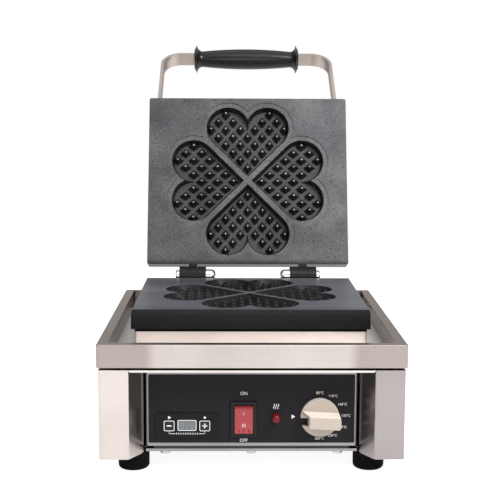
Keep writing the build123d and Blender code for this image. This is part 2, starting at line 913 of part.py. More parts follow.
def heating_element():
    """Bent tube heater in the plane z = 0, its two ends towards the hinge side."""
    inner = element_inner_half
    points = [
        (-element_half_width, element_half_depth),
        (-element_half_width, -element_half_depth),
        (-inner, -element_half_depth),
        (-inner, element_half_depth / 2),
        (inner, element_half_depth / 2),
        (inner, -element_half_depth),
        (element_half_width, -element_half_depth),
        (element_half_width, element_half_depth),
    ]
    path = FilletPolyline(*points, radius=element_bend)
    section = Plane(origin=path @ 0, z_dir=path % 0) * Circle(element_radius)
    tube = sweep(section, path=path)
    for side in sides:
        end = (side * element_half_width, element_half_depth, 0)
        tube += rod(element_radius / 2, end, (0, 1, 0), terminal_length)
    return tube


def element_clamp():
    """Flat sheet that presses the heater to the plate, its face at z = 0."""
    half_x = clamp_width / 2
    half_y = clamp_depth / 2
    plate = block(-half_x, half_x, -half_y, half_y, 0, clamp_thickness)
    for x, y in clamp_stud_places():
        plate -= hole((x, y, 0), (0, 0, 1), m6_radius, clamp_thickness)
    return plate


def clamp_studs():
    """Studs from the plate's back through the clamp, plate's back at z = 0."""
    length = stud_sink + clamp_level + clamp_thickness + m6_radius * nut_height_ratio
    return [rod(m6_radius, (x, y, -stud_sink), (0, 0, 1), length) for x, y in clamp_stud_places()]


def clamp_nuts():
    """Nuts that pull the clamp down, plate's back at z = 0."""
    z = clamp_level + clamp_thickness
    return [hex_nut((x, y, z), (0, 0, 1), m6_radius) for x, y in clamp_stud_places()]


def insulation_slab(height):
    """Mineral-wool slab with clearance round the clamp nuts, its near face at z = 0."""
    half_x = insulation_width / 2
    half_y = insulation_depth / 2
    slab = block(-half_x, half_x, -half_y, half_y, 0, height)
    for x, y in clamp_stud_places():
        slab -= rod(insulation_hole_radius, (x, y, 0), (0, 0, 1), height)
    return slab


def under_plate(shape, level):
    """Hang a heater piece below the lower plate, its near face a level down from the plate."""
    return Pos(0, plate_middle, plate_bottom - level) * Rot(0, 180, 0) * shape


def behind_lid_plate(shape, level):
    """Stand a heater piece on the back of the open lid's plate."""
    return open_lid(Pos(0, lid_middle(), plate_back_level + level) * shape)


# Lid cover and handle


def pillar_places():
    """Cover pillars in the closed lid's plan."""
    y0 = -cover_end + pillar_margin
    y1 = -cover_start - pillar_margin
    return [(side * pillar_x, y) for side in sides for y in (y0, y1)]


def lid_cover():
    """Folded steel cover over the lid's heater, open towards the plate."""
    half = cover_width / 2
    y0 = -cover_end
    y1 = -cover_start
    cover = block(-half, half, y0, y1, plate_back_level, cover_top_level)
    cover = fillet(cover.edges().filter_by(Axis.Z), cover_edge_radius)
    cover = fillet(cover.faces().sort_by(Axis.Z)[-1].edges(), cover_edge_radius)
    inner = half - sheet
    room = block(-inner, inner, y0 + sheet, y1 - sheet, plate_back_level, cover_top_level - sheet)
    room = fillet(room.edges().filter_by(Axis.Z), cover_edge_radius - sheet)
    room = fillet(room.faces().sort_by(Axis.Z)[-1].edges(), cover_edge_radius - sheet)
    cover -= room
    for x, y in pillar_places():
        cover -= hole((x, y, cover_top_level), (0, 0, -1), m4_radius, sheet)
    for side, place in handle_screw_places():
        cover -= hole(along(place, (side, 0, 0), -sheet), (side, 0, 0), m5_radius, sheet)
    cover -= rod(bush_neck_radius, lid_bush_seat(), (0, -1, 0), sheet)
    return cover


def cover_pillars():
    """Pillars on the plate's back that carry the cover."""
    length = cover_height - sheet
    pillars = []
    for x, y in pillar_places():
        start = (x, y, plate_back_level)
        pillar = rod(pillar_radius, start, (0, 0, 1), length)
        pillars.append(pillar - hole(along(start, (0, 0, 1), length), (0, 0, -1), m4_radius, screw_grip))
    return pillars


def cover_screws():
    """Screws through the cover into its pillars."""
    length = sheet + screw_grip
    return [pan_screw((x, y, cover_top_level), (0, 0, -1), m4_radius, length) for x, y in pillar_places()]


def handle_plane():
    """Plane of the handle's U with the lid closed: x across, y along the legs."""
    slope = math.radians(handle_angle)
    origin = (0, -strap_foot_along, plate_back_level + strap_foot_rise - plate_thickness)
    return Plane(origin=origin, x_dir=(1, 0, 0), z_dir=(0, -math.sin(slope), -math.cos(slope)))


def leg_point(distance):
    """Point on the leg's line in the closed lid's frame, x left at zero."""
    return tuple(handle_plane().from_local_coords((0, distance, 0)))


def handle_screw_places():
    """Each handle screw's side and its seat on the cover's wall."""
    places = []
    for side in sides:
        for step in (0, 1):
            x, y, z = leg_point(step * handle_screw_pitch)
            places.append((side, (side * cover_width / 2, y, z)))
    return places


def handle_strap():
    """Flat steel strap bent to a U, its rounded feet against the cover's sides."""
    outer = cover_width / 2 + strap_thickness
    foot = -strap_width / 2
    points = [(-outer, foot), (-outer, strap_reach), (outer, strap_reach), (outer, foot)]
    outline = bent_strip(points, strap_bend, strap_thickness, Side.RIGHT)
    strap = extrude(outline, amount=strap_width / 2, both=True)
    ends = strap.faces().sort_by(Axis.Y)[:2].edges().filter_by(Axis.X)
    strap = handle_plane() * fillet(ends, strap_width / 2 - fit_gap)
    for side, place in handle_screw_places():
        strap -= hole(place, (side, 0, 0), m5_radius, strap_thickness)
    return strap


def handle_screws():
    """Screws through the strap's feet into the cover."""
    nut_height = m5_radius * nut_height_ratio
    length = strap_thickness + sheet + nut_height
    screws = []
    for side, place in handle_screw_places():
        seat = along(place, (side, 0, 0), strap_thickness)
        screws.append(pan_screw(seat, (-side, 0, 0), m5_radius, length))
    return screws


def handle_nuts():
    """Nuts of the handle screws, inside the cover."""
    nuts = []
    for side, place in handle_screw_places():
        nuts.append(hex_nut(along(place, (-side, 0, 0), sheet), (-side, 0, 0), m5_radius))
    return nuts


def handle_grip():
    """Bulging grip with flared ends, slotted for the strap."""
    half = grip_length / 2
    neck = half - grip_neck_inset
    flare = half - grip_flange_inset
    belly = ThreePointArc((-neck, grip_neck_radius), (0, grip_middle_radius), (neck, grip_neck_radius))
    lines = [belly]
    for side in sides:
        curl = (flare - neck) / 2 + neck
        curl_radius = grip_neck_radius + grip_curl_rise
        lines.append(
            ThreePointArc(
                (side * neck, grip_neck_radius),
                (side * curl, curl_radius),
                (side * flare, grip_flange_radius),
            )
        )
        lines.append(Line((side * flare, grip_flange_radius), (side * half, grip_end_radius)))
        lines.append(Line((side * half, grip_end_radius), (side * half, 0)))
    lines.append(Line((-half, 0), (half, 0)))
    grip = revolve(make_face(lines), Axis.X)
    slot_y = strap_thickness / 2 + grip_slot_gap
    slot_z = strap_width / 2 + grip_slot_gap
    grip -= block(-half, half, -slot_y, slot_y, -slot_z, slot_z)
    return handle_plane() * Pos(0, strap_reach - strap_thickness / 2, 0) * grip


# Controls


def thermostat_body():
    """Thermostat case behind the panel, bored for its shaft."""
    half = thermostat_side / 2
    y1 = panel_back + thermostat_length
    case = block(knob_x - half, knob_x + half, panel_back, y1, control_z - half, control_z + half)
    case -= rod(shaft_radius + running_gap, (knob_x, panel_back, control_z), (0, 1, 0), shaft_reach)
    for start in thermostat_screw_places():
        case -= hole(start, (0, 1, 0), m4_radius, screw_grip + overlay_thickness + sheet)
    return case


def thermostat_screw_places():
    """Seats of the thermostat's two screws, hidden under the knob."""
    return [(knob_x, overlay_front, control_z + side * thermostat_screw_offset) for side in sides]


def thermostat_screws():
    """Low-head screws through the panel into the thermostat."""
    screws = []
    for start in thermostat_screw_places():
        head = rod(m4_radius * head_ratio, start, (0, -1, 0), flat_head_height)
        screws.append(head + rod(m4_radius, start, (0, 1, 0), screw_grip))
    return screws


def thermostat_shaft():
    """Turning shaft from the thermostat into the knob's hub."""
    start = (knob_x, panel_back + shaft_reach - fit_gap, control_z)
    reach = shaft_reach - fit_gap + sheet + overlay_thickness + knob_panel_gap + knob_bore_depth
    return rod(shaft_radius, start, (0, -1, 0), reach - fit_gap)


def knob_pointer_web():
    """Thin slanted web that ties the finger bar's pointing end to the disc's rim."""
    half = knob_bar_width / 2
    points = [
        (-knob_radius + knob_web, knob_thickness),
        (-knob_bar_back + knob_web, knob_thickness),
        (-knob_bar_back + knob_web, knob_height - knob_web),
        (-knob_bar_back, knob_height - knob_web),
    ]
    side = Plane(origin=(0, half, 0), x_dir=(1, 0, 0), z_dir=(0, -1, 0))
    return extrude(side * make_face(Polyline(*points, close=True)), amount=knob_web)


def thermostat_knob():
    """Thin round knob with a tall finger bar, a web to its pointing end and a notch under that."""
    disc = extrude(Circle(knob_radius), amount=knob_thickness)
    disc = fillet(disc.edges().group_by(Axis.Z)[-1], knob_edge_radius)
    half = knob_bar_width / 2
    bar = block(-knob_bar_back, knob_radius, -half, half, 0, knob_height)
    bar = bar & extrude(Circle(knob_radius), amount=knob_height)
    bar = fillet(bar.faces().sort_by(Axis.Z)[-1].edges(), knob_bar_radius)
    knob = disc + bar + knob_pointer_web()
    hollow = extrude(Circle(knob_hollow_radius) - Circle(knob_hub_radius), amount=knob_hollow_depth)
    knob -= hollow
    notch_low = -knob_notch_drop - knob_notch_width
    notch_end = knob_notch_depth - knob_radius
    knob -= block(-knob_radius, notch_end, notch_low, -knob_notch_drop, 0, knob_thickness)
    knob -= rod(shaft_radius + screw_gap, (0, 0, 0), (0, 0, 1), knob_bore_depth)
    start = (knob_x, overlay_front - knob_panel_gap, control_z)
    seat = Plane(origin=start, x_dir=(1, 0, 0), z_dir=(0, -1, 0))
    return seat * Rot(0, 0, -knob_rest_turn) * knob


def lamp_lens():
    """Domed lens of the heating lamp."""
    start = (lamp_x, panel_back, control_z)
    reach = lamp_reach + sheet
    lens = rod(lamp_radius, start, (0, -1, 0), reach)
    return fillet(lens.edges().group_by(Axis.Y)[0], lamp_dome_radius)


def lamp_body():
    """Lamp holder behind the panel with two connection tags."""
    start = (lamp_x, panel_back, control_z)
    body = rod(lamp_body_radius, start, (0, 1, 0), lamp_body_length)
    return body + connection_tags(lamp_x, panel_back + lamp_body_length, control_z, lamp_body_radius / 2)


def connection_tags(x, y, z, offset_z):
    """Two flat connection tags standing to the rear."""
    half_w = min(tag_width / 2, offset_z)
    half_t = tag_thickness / 2
    tags = []
    for side in sides:
        level = z + side * offset_z
        tags.append(block(x - half_w, x + half_w, y, y + tag_length, level - half_t, level + half_t))
    return tags


def switch_axis_y():
    """Depth of the rocker's pivot."""
    return overlay_front + rocker_pivot_depth


def switch_housing():
    """Snap-in switch body with its bezel, a well for the rocker and two tags."""
    half_w = switch_bezel_width / 2
    half_h = switch_bezel_height / 2
    y0 = overlay_front - switch_bezel_thickness
    bezel = block(
        switch_x - half_w, switch_x + half_w, y0, overlay_front, switch_z - half_h, switch_z + half_h
    )
    bezel = fillet(bezel.faces().sort_by(Axis.Y)[0].edges(), switch_bezel_radius)
    half_w = switch_cut_width / 2 - fit_gap
    half_h = switch_cut_height / 2 - fit_gap
    y1 = overlay_front + switch_body_depth
    body = block(
        switch_x - half_w, switch_x + half_w, overlay_front, y1, switch_z - half_h, switch_z + half_h
    )
    well_w = rocker_width / 2 + rocker_gap
    well_h = rocker_half_length + rocker_swing_room
    floor = overlay_front + rocker_well
    housing = bezel + body
    housing -= block(switch_x - well_w, switch_x + well_w, y0, floor, switch_z - well_h, switch_z + well_h)
    reach = well_w + rocker_pin_length + fit_gap
    start = (switch_x - reach, switch_axis_y(), switch_z)
    housing -= rod(rocker_pin_radius + running_gap, start, (1, 0, 0), 2 * reach)
    return housing + connection_tags(switch_x, y1, switch_z, half_h / 2)


def power_rocker():
    """Rocker tipped to its off position, top edge out, on two side pins."""
    profile = [
        (-rocker_half_length, rocker_end_rise),
        (0, rocker_middle_rise),
        (rocker_half_length, rocker_end_rise),
        (rocker_half_length, -rocker_skirt),
        (-rocker_half_length, -rocker_skirt),
    ]
    face = make_face(Polyline(*[(a, b + rocker_pivot_depth) for a, b in profile], close=True))
    rocker = extrude(face, amount=rocker_width / 2, both=True)
    pin = rocker_width / 2 + rocker_pin_length
    rocker += rod(rocker_pin_radius, (0, 0, -pin), (0, 0, 1), 2 * pin)
    rocker = Rot(0, 0, rocker_tilt) * rocker
    seat = Plane(origin=(switch_x, switch_axis_y(), switch_z), x_dir=(0, 0, 1), z_dir=(1, 0, 0))
    return seat * rocker


def timer_bezel():
    """Faceplate of the timer with windows for its display and buttons."""
    y0 = overlay_front - timer_thickness
    plate = timer_block(0, y0, overlay_front)
    plate = fillet(plate.edges().filter_by(Axis.Y), timer_corner)
    half_w = display_width / 2
    half_h = display_height / 2
    plate -= block(
        timer_x - half_w, timer_x + half_w, y0, overlay_front, timer_z - half_h, timer_z + half_h
    )
    half = button_side / 2 + button_gap
    for side in sides:
        x = timer_x + side * button_offset
        plate -= block(x - half, x + half, y0, overlay_front, timer_z - half, timer_z + half)
    return plate


def timer_display():
    """Display block behind its window."""
    half_w = display_width / 2 - running_gap
    half_h = display_height / 2 - running_gap
    y0 = overlay_front - timer_thickness + display_sink
    y1 = panel_back + timer_pocket
    return block(timer_x - half_w, timer_x + half_w, y0, y1, timer_z - half_h, timer_z + half_h)


def timer_case():
    """Timer's case behind the panel, hollowed at the front for the buttons' travel."""
    y1 = panel_back + timer_case_depth
    case = timer_block(-timer_case_margin, panel_back, y1)
    return case - timer_block(timer_cut_margin, panel_back, panel_back + timer_pocket)


def timer_button(side):
    """Square push button with a retaining flange behind the faceplate."""
    x = timer_x + side * button_offset
    half = button_side / 2
    y0 = overlay_front - timer_thickness - button_proud
    y1 = overlay_front + running_gap
    cap = block(x - half, x + half, y0, y1, timer_z - half, timer_z + half)
    cap = fillet(cap.faces().sort_by(Axis.Y)[0].edges(), button_gap)
    half += button_flange
    y2 = y1 + button_flange_thickness
    return cap + block(x - half, x + half, y1, y2, timer_z - half, timer_z + half)


# Thermostat sensor and supply entry


def thermostat_capillary():
    """Sensor bulb against the lower plate and its fine tube to the thermostat."""
    bulb_z = plate_bottom - element_level
    bulb_front = plate_middle - bulb_length / 2
    drop_y = plate_middle - clamp_depth / 2 - capillary_clear
    port_y = panel_back + thermostat_length
    port_z = control_z + capillary_rise
    points = [
        (bulb_x, bulb_front, bulb_z),
        (bulb_x, drop_y, bulb_z),
        (bulb_x, drop_y, port_z),
        (knob_x, drop_y, port_z),
        (knob_x, port_y, port_z),
    ]
    path = FilletPolyline(*points, radius=capillary_bend)
    section = Plane(origin=path @ 0, z_dir=path % 0) * Circle(capillary_radius)
    bulb = rod(bulb_radius, (bulb_x, bulb_front, bulb_z), (0, 1, 0), bulb_length)
    return sweep(section, path=path) + bulb


def gland_seat():
    """Point where the gland's cap meets the rear panel."""
    return (gland_x, body_rear, body_bottom + gland_rise)


def rear_bush_seat():
    """Point where the lid lead's bush meets the rear panel."""
    return (bush_x, body_rear, body_bottom + bush_rise)


def lid_bush_seat():
    """Point where the lead's bush meets the closed lid's cover."""
    return (bush_x, -cover_start, plate_back_level + lid_bush_rise)


def cable_gland():
    """Screwed gland for the supply cable, open right through."""
    seat = gland_seat()
    cap = rod(gland_cap_radius, seat, (0, 1, 0), gland_cap_length)
    cap = fillet(cap.edges().group_by(Axis.Y)[-1], gland_cap_fillet)
    thread = rod(gland_thread_radius, seat, (0, -1, 0), gland_thread_length)
    inner = along(seat, (0, -1, 0), gland_thread_length)
    return cap + thread - rod(gland_bore_radius, inner, (0, 1, 0), gland_thread_length + gland_cap_length)


def gland_locknut():
    """Thin nut that holds the gland from inside."""
    seat = along(gland_seat(), (0, -1, 0), sheet)
    nut = hex_ring(gland_nut_flats, gland_thread_radius + screw_gap, gland_nut_height)
    return Plane(origin=seat, z_dir=(0, -1, 0)) * nut


def lead_bush(seat):
    """Grommet in a sheet wall whose outer face is at seat, the wall running to the front."""
    outer = rod(bush_radius, seat, (0, 1, 0), bush_flange)
    back = along(seat, (0, -1, 0), sheet)
    outer += rod(bush_neck_radius - running_gap, back, (0, 1, 0), sheet)
    outer += rod(bush_radius, back, (0, -1, 0), bush_flange)
    start = along(back, (0, -1, 0), bush_flange)
    return outer - rod(bush_bore_radius, start, (0, 1, 0), 2 * bush_flange + sheet)


def block_screw_places():
    """Seats of the terminal block's two fixing screws."""
    offset = block_length / 2 - block_screw_margin
    return [(block_x + side * offset, block_y, floor_top + block_height) for side in sides]


def terminal_block():
    """Ceramic block with a row of terminal wells."""
    centre = Pos(block_x, block_y, floor_top + block_height / 2)
    body = centre * Box(block_length, block_width, block_height)
    pitch = (block_length - 2 * block_end) / block_poles
    for pole in range(block_poles):
        x = block_x + (pole - (block_poles - 1) / 2) * pitch
        top = (x, block_y, floor_top + block_height)
        body -= rod(block_well_radius, top, (0, 0, -1), block_well_depth)
    for start in block_screw_places():
        body -= hole(start, (0, 0, -1), m4_radius, block_height)
    return body


def terminal_block_screws():
    """Screws that hold the terminal block to the floor sheet."""
    length = block_height + sheet
    return [pan_screw(start, (0, 0, -1), m4_radius, length) for start in block_screw_places()]


def lid_group(shapes):
    """Swing a group of closed-lid pieces open."""
    return [open_lid(shape) for shape in shapes]


def heater_nodes(prefix, place):
    """Heater, its clamp and the clamp's studs and nuts behind one plate."""
    return {
        prefix + "_heating_element": place(heating_element(), element_level),
        prefix + "_element_clamp": place(element_clamp(), clamp_level),
        prefix + "_clamp_fixings": [place(piece, 0) for piece in clamp_studs() + clamp_nuts()],
    }


def build_nodes():
    """Every sub-part by name, a list where a node is a group of alike pieces."""
    side = right_side_panel()
    nodes = {
        "side_panel_right": side,
        "side_panel_left": mirror(side, about=Plane.YZ),
        "rear_panel": rear_panel(),
        "bottom_plate": bottom_plate(),
        "front_rail": front_rail(),
        "control_panel": control_panel(),
        "panel_overlay": panel_overlay(),
        "panel_nut_bar": nut_bar(),
        "bottom_screws": bottom_screws(),
        "rear_screws": rear_screws(),
        "rubber_feet": rubber_feet(),
        "foot_screws": foot_screws(),
        "foot_nuts": foot_nuts(),
        "top_tray": top_tray(),
        "tray_seal": tray_seal(),
        "tray_fixings": tray_studs() + tray_nuts(),
        "plate_pedestal": plate_pedestal(),
        "plate_gasket": plate_gasket(),
        "plate_bolts": plate_bolts(),
        "lower_plate": lower_plate(),
        "lower_insulation": under_plate(insulation_slab(lower_insulation_height), insulation_level),
        "hinge_bolts": hinge_bolts(),
        "hinge_washers": hinge_washers(),
        "hinge_dome_nuts": hinge_dome_nuts(),
        "upper_plate": open_lid(upper_plate()),
        "upper_insulation": behind_lid_plate(insulation_slab(upper_insulation_height), insulation_level),
        "lid_cover": open_lid(lid_cover()),
        "cover_pillars": lid_group(cover_pillars()),
        "cover_screws": lid_group(cover_screws()),
        "lid_lead_bush": open_lid(lead_bush(lid_bush_seat())),
        "handle_strap": open_lid(handle_strap()),
        "handle_grip": open_lid(handle_grip()),
        "handle_screws": lid_group(handle_screws()),
        "handle_nuts": lid_group(handle_nuts()),
        "thermostat_body": thermostat_body(),
        "thermostat_screws": thermostat_screws(),
        "thermostat_shaft": thermostat_shaft(),
        "thermostat_knob": thermostat_knob(),
        "thermostat_capillary": thermostat_capillary(),
        "lamp_lens": lamp_lens(),
        "lamp_body": lamp_body(),
        "switch_housing": switch_housing(),
        "power_rocker": power_rocker(),
        "timer_bezel": timer_bezel(),
        "timer_display": timer_display(),
        "timer_case": timer_case(),
        "timer_minus_button": timer_button(-1),
        "timer_plus_button": timer_button(1),
        "cable_gland": cable_gland(),
        "gland_locknut": gland_locknut(),
        "rear_lead_bush": lead_bush(rear_bush_seat()),
        "terminal_block": terminal_block(),
        "terminal_block_screws": terminal_block_screws(),
    }
    nodes.update(heater_nodes("lower", under_plate))
    nodes.update(heater_nodes("upper", behind_lid_plate))
    return nodes


def save(nodes):
    """Write each sub-part to its own file."""
    os.makedirs("parts", exist_ok=True)
    for name, shape in nodes.items():
        solid = Compound(children=shape) if isinstance(shape, list) else shape
        export_step(solid, f"parts/{name}.step")


save(build_nodes())
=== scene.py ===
"""Looks of a table-top waffle maker: finishes, softened edges, panel printing, light and camera."""
import json
import logging
import math
from dataclasses import dataclass, field
from enum import Enum
from typing import Any, Callable, Iterable, Optional

import bpy
from bpy.types import Material, Node, NodeSocket, NodeTree, Object
from mathutils import Matrix, Vector


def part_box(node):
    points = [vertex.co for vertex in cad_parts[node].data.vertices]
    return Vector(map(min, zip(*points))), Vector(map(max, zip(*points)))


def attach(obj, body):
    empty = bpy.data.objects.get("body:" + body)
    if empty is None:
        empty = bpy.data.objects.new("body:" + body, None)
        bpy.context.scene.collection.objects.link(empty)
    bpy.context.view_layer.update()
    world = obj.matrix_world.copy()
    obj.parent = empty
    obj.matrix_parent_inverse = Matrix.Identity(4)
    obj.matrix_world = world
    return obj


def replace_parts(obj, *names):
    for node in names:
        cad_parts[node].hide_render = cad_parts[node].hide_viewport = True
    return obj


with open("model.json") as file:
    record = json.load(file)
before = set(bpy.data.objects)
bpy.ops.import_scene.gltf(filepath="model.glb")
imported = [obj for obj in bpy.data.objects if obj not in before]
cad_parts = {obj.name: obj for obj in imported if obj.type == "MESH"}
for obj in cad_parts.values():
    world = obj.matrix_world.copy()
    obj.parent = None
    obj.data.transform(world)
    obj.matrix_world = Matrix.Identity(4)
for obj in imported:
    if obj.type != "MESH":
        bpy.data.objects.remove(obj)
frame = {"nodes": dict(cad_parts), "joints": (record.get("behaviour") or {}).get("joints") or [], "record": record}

LOG = logging.getLogger("waffle_maker")
MM = 0.001
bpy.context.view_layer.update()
Point = tuple[float, float, float]
Spot = tuple[float, float]
Span = tuple[float, float]
WHITE = "#FFFFFF"
# Most of a noise's values lie in this span.
NOISE_SPAN: Span = (0.3, 0.7)
NOISE_RANGE = {"From Min": NOISE_SPAN[0], "From Max": NOISE_SPAN[1]}
MULTIPLY = {"data_type": "RGBA", "blend_type": "MULTIPLY"}


class Brush(Enum):
    """Axis that a sheet's brushing lines run along."""

    ACROSS = 0
    UP = 2


# What the frame tells


def joint_of(body: str) -> dict[str, Any]:
    """Return the record of the joint that a body moves on."""
    return next(joint for joint in frame["joints"] if joint["child"] == body)


def body_of(node: str) -> str:
    """Return the body that a CAD node belongs to."""
    return next(body for body, nodes in frame["record"]["behaviour"]["bodies"].items() if node in nodes)


def middle(node: str) -> Vector:
    """Return the centre of a CAD node's box."""
    low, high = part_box(node)
    return (low + high) / 2


HINGE = Vector(joint_of("lid")["pos_m"])
# The lid rests open by its whole swing.
LID_OPEN = math.radians(joint_of("lid")["range_deg"][1])
# Nearer to the hinge's pivot than this there are only eyes and tongues.
HINGE_REACH_MM = 13.0
# The tray's deck lies further under the rim than this.
DECK_DROP_MM = 4.0


# Colour and node helpers


def linear(hex_code: str) -> tuple[float, float, float, float]:
    """Turn an sRGB hex colour into linear RGBA.

    Args:
        hex_code: Colour such as #C0B8B0.

    Returns:
        Linear red, green, blue and an alpha of one.
    """
    parts = [int(hex_code[i:i + 2], 16) / 255 for i in (1, 3, 5)]
    red, green, blue = [c / 12.92 if c <= 0.04045 else ((c + 0.055) / 1.055) ** 2.4 for c in parts]
    return red, green, blue, 1.0


def feed(tree: NodeTree, node: Node, values: dict[Any, Any], links: dict[Any, NodeSocket]) -> None:
    """Set a node's constants and link its inputs.

    Args:
        tree: Node tree that holds the node.
        node: Node to feed.
        values: Socket name or index to constant value.
        links: Socket name or index to the output that feeds it.
    """
    for key, value in values.items():
        node.inputs[key].default_value = value
    for key, source in links.items():
        tree.links.new(source, node.inputs[key])


def add_node(tree: NodeTree, kind: str, settings: Optional[dict[str, Any]] = None,
             values: Optional[dict[Any, Any]] = None,
             links: Optional[dict[Any, NodeSocket]] = None) -> Node:
    """Add one node with its settings, socket values and incoming links.

    Args:
        tree: Node tree to add to.
        kind: Node type, without its ShaderNode prefix.
        settings: Attributes of the node itself.
        values: Socket name or index to constant value.
        links: Socket name or index to the output that feeds it.

    Returns:
        The new node.
    """
    node = tree.nodes.new("ShaderNode" + kind)
    for name, value in (settings or {}).items():
        setattr(node, name, value)
    feed(tree, node, values or {}, links or {})
    return node


def set_ramp(node: Node, stops: Iterable[tuple[float, str]]) -> None:
    """Give a colour ramp its stops.

    Args:
        node: Colour ramp node.
        stops: Positions with their hex colours, lowest first.
    """
    elements = node.color_ramp.elements
    for i, (place, colour) in enumerate(stops):
        item = elements[i] if i < len(elements) else elements.new(place)
        item.position = place
        item.color = linear(colour)


# Finishes


@dataclass(frozen=True)
class Finish:
    """A surface finish that makes its own material once."""

    name: str
    slot: str = ""

    def material(self) -> Material:
        """Make this finish's material on first use.

        Returns:
            The material.
        """
        found = bpy.data.materials.get(self.name)
        if found:
            return found
        made = bpy.data.materials.new(self.name)
        made.use_nodes = True
        self.shade(made.node_tree, made.node_tree.nodes["Principled BSDF"])
        return made

    def shade(self, tree: NodeTree, shader: Node) -> None:
        """Wire the finish into the shader.

        Args:
            tree: Material's node tree.
            shader: Its Principled shader.
        """
        raise NotImplementedError


@dataclass(frozen=True)
class BrushedStainless(Finish):
    """Stainless sheet, rolled and line-brushed: soft streaked reflections, cloudy warm tint."""

    light: str = "#D0C7C3"
    dark: str = "#C3B9B4"
    brush: Brush = Brush.ACROSS
    roughness: float = 0.21
    smoother: float = 0.03
    rougher: float = 0.05
    # Real brushing lines are too fine to show in the render, so they are drawn this coarse.
    grain_mm: float = 0.45
    grain_detail: float = 3.0
    streak_mm: float = 60.0
    cloud_mm: float = 110.0
    cloud_detail: float = 2.0
    cloud_span: Span = (0.32, 0.62)
    grain_low: str = "#F6F6F6"
    relief: float = 0.02
    relief_mm: float = 0.05
    # Painted shade at both ends begins this far from the middle; with zero here there is none.
    shade_end_from_mm: float = 0.0
    shade_end_fade_mm: float = 14.0
    end_shade_tone: str = "#D2CDCA"
    # Height in metres under which the deck is made matt and painted lighter, as if lit from above; with zero here
    # there is no such deck.
    deck_below: float = 0.0
    deck_fade_mm: float = 1.0
    deck_span: Span = (0.7, 0.9)
    deck_painted_light_tone: str = "#E6E6E4"
    deck_roughness: float = 0.55

    def shade(self, tree: NodeTree, shader: Node) -> None:
        """Stretch fine noise along the brushing and cloud the tint.

        Args:
            tree: Material's node tree.
            shader: Its Principled shader.
        """
        source = add_node(tree, "TexCoord")
        coord = source.outputs["Object"]
        scale = [1 / (self.grain_mm * MM)] * 3
        scale[self.brush.value] = 1 / (self.streak_mm * MM)
        place = add_node(tree, "Mapping", values={"Scale": scale}, links={"Vector": coord})
        grain = add_node(tree, "TexNoise", values={"Scale": 1.0, "Detail": self.grain_detail},
                         links={"Vector": place.outputs[0]})
        cloud = add_node(
            tree, "TexNoise", values={"Scale": 1 / (self.cloud_mm * MM), "Detail": self.cloud_detail},
            links={"Vector": coord})
        tint = add_node(tree, "ValToRGB", links={"Fac": cloud.outputs["Fac"]})
        set_ramp(tint, zip(self.cloud_span, (self.dark, self.light)))
        fine = add_node(tree, "ValToRGB", links={"Fac": grain.outputs["Fac"]})
        set_ramp(fine, zip(NOISE_SPAN, (self.grain_low, WHITE)))
        streaked = add_node(tree, "Mix", MULTIPLY, {0: 1.0}, {6: tint.outputs[0], 7: fine.outputs[0]})
        colour = streaked.outputs[2]
        # Painted shade towards both ends.
        if self.shade_end_from_mm:
            colour = self.painted_end_shade(tree, coord, colour)
        spread = add_node(tree, "MapRange", values={
            **NOISE_RANGE,
            "To Min": self.roughness - self.smoother, "To Max": self.roughness + self.rougher},
            links={"Value": grain.outputs["Fac"]}).outputs[0]
        # Painted light: the sunk deck turns lighter, and matt.
        if self.deck_below:
            share = self.matt_lit_deck_share(tree, source)
            colour = add_node(tree, "Mix", {"data_type": "RGBA"}, {7: linear(self.deck_painted_light_tone)},
                              {0: share, 6: colour}).outputs[2]
            spread = add_node(tree, "Mix", {"data_type": "FLOAT"}, {3: self.deck_roughness},
                              {0: share, 2: spread}).outputs[0]
        bump = add_node(tree, "Bump", values={"Strength": self.relief, "Distance": self.relief_mm * MM},
                        links={"Height": grain.outputs["Fac"]})
        feed(tree, shader, {"Metallic": 1.0},
             {"Base Color": colour, "Roughness": spread, "Normal": bump.outputs[0]})

    def painted_end_shade(self, tree: NodeTree, coord: NodeSocket, colour: NodeSocket) -> NodeSocket:
        """Darken the colour towards both ends: painted shade standing in for the darker reflections there.

        Args:
            tree: Material's node tree.
            coord: Object coordinates.
            colour: Colour so far.

        Returns:
            The colour with its painted end shade.
        """
        split = add_node(tree, "SeparateXYZ", links={"Vector": coord})
        reach = add_node(tree, "Math", {"operation": "ABSOLUTE"}, links={0: split.outputs["X"]})
        near = add_node(tree, "MapRange", {"interpolation_type": "SMOOTHSTEP"}, {
            "From Min": self.shade_end_from_mm * MM, "From Max": (self.shade_end_from_mm + self.shade_end_fade_mm) * MM},
            {"Value": reach.outputs[0]})
        shade_ramp = add_node(tree, "ValToRGB", links={"Fac": near.outputs[0]})
        set_ramp(shade_ramp, [(0.0, WHITE), (1.0, self.end_shade_tone)])
        return add_node(tree, "Mix", MULTIPLY, {0: 1.0}, {6: colour, 7: shade_ramp.outputs[0]}).outputs[2]

    def matt_lit_deck_share(self, tree: NodeTree, source: Node) -> NodeSocket:
        """Find the sunk deck, which is left matt from the rolling mill and painted lighter where it looks up, as
        if lit from above.

        Args:
            tree: Material's node tree.
            source: Texture coordinate node.

        Returns:
            One on the deck, zero elsewhere.
        """
        place = add_node(tree, "SeparateXYZ", links={"Vector": source.outputs["Object"]})
        under = add_node(tree, "MapRange", values={
            "From Min": self.deck_below - self.deck_fade_mm * MM, "From Max": self.deck_below,
            "To Min": 1.0, "To Max": 0.0}, links={"Value": place.outputs["Z"]})
        normal = add_node(tree, "SeparateXYZ", links={"Vector": source.outputs["Normal"]})
        upward = add_node(tree, "MapRange", values={
            "From Min": self.deck_span[0], "From Max": self.deck_span[1]},
            links={"Value": normal.outputs["Z"]})
        share = add_node(tree, "Math", {"operation": "MULTIPLY"},
                         links={0: under.outputs[0], 1: upward.outputs[0]})
        return share.outputs[0]


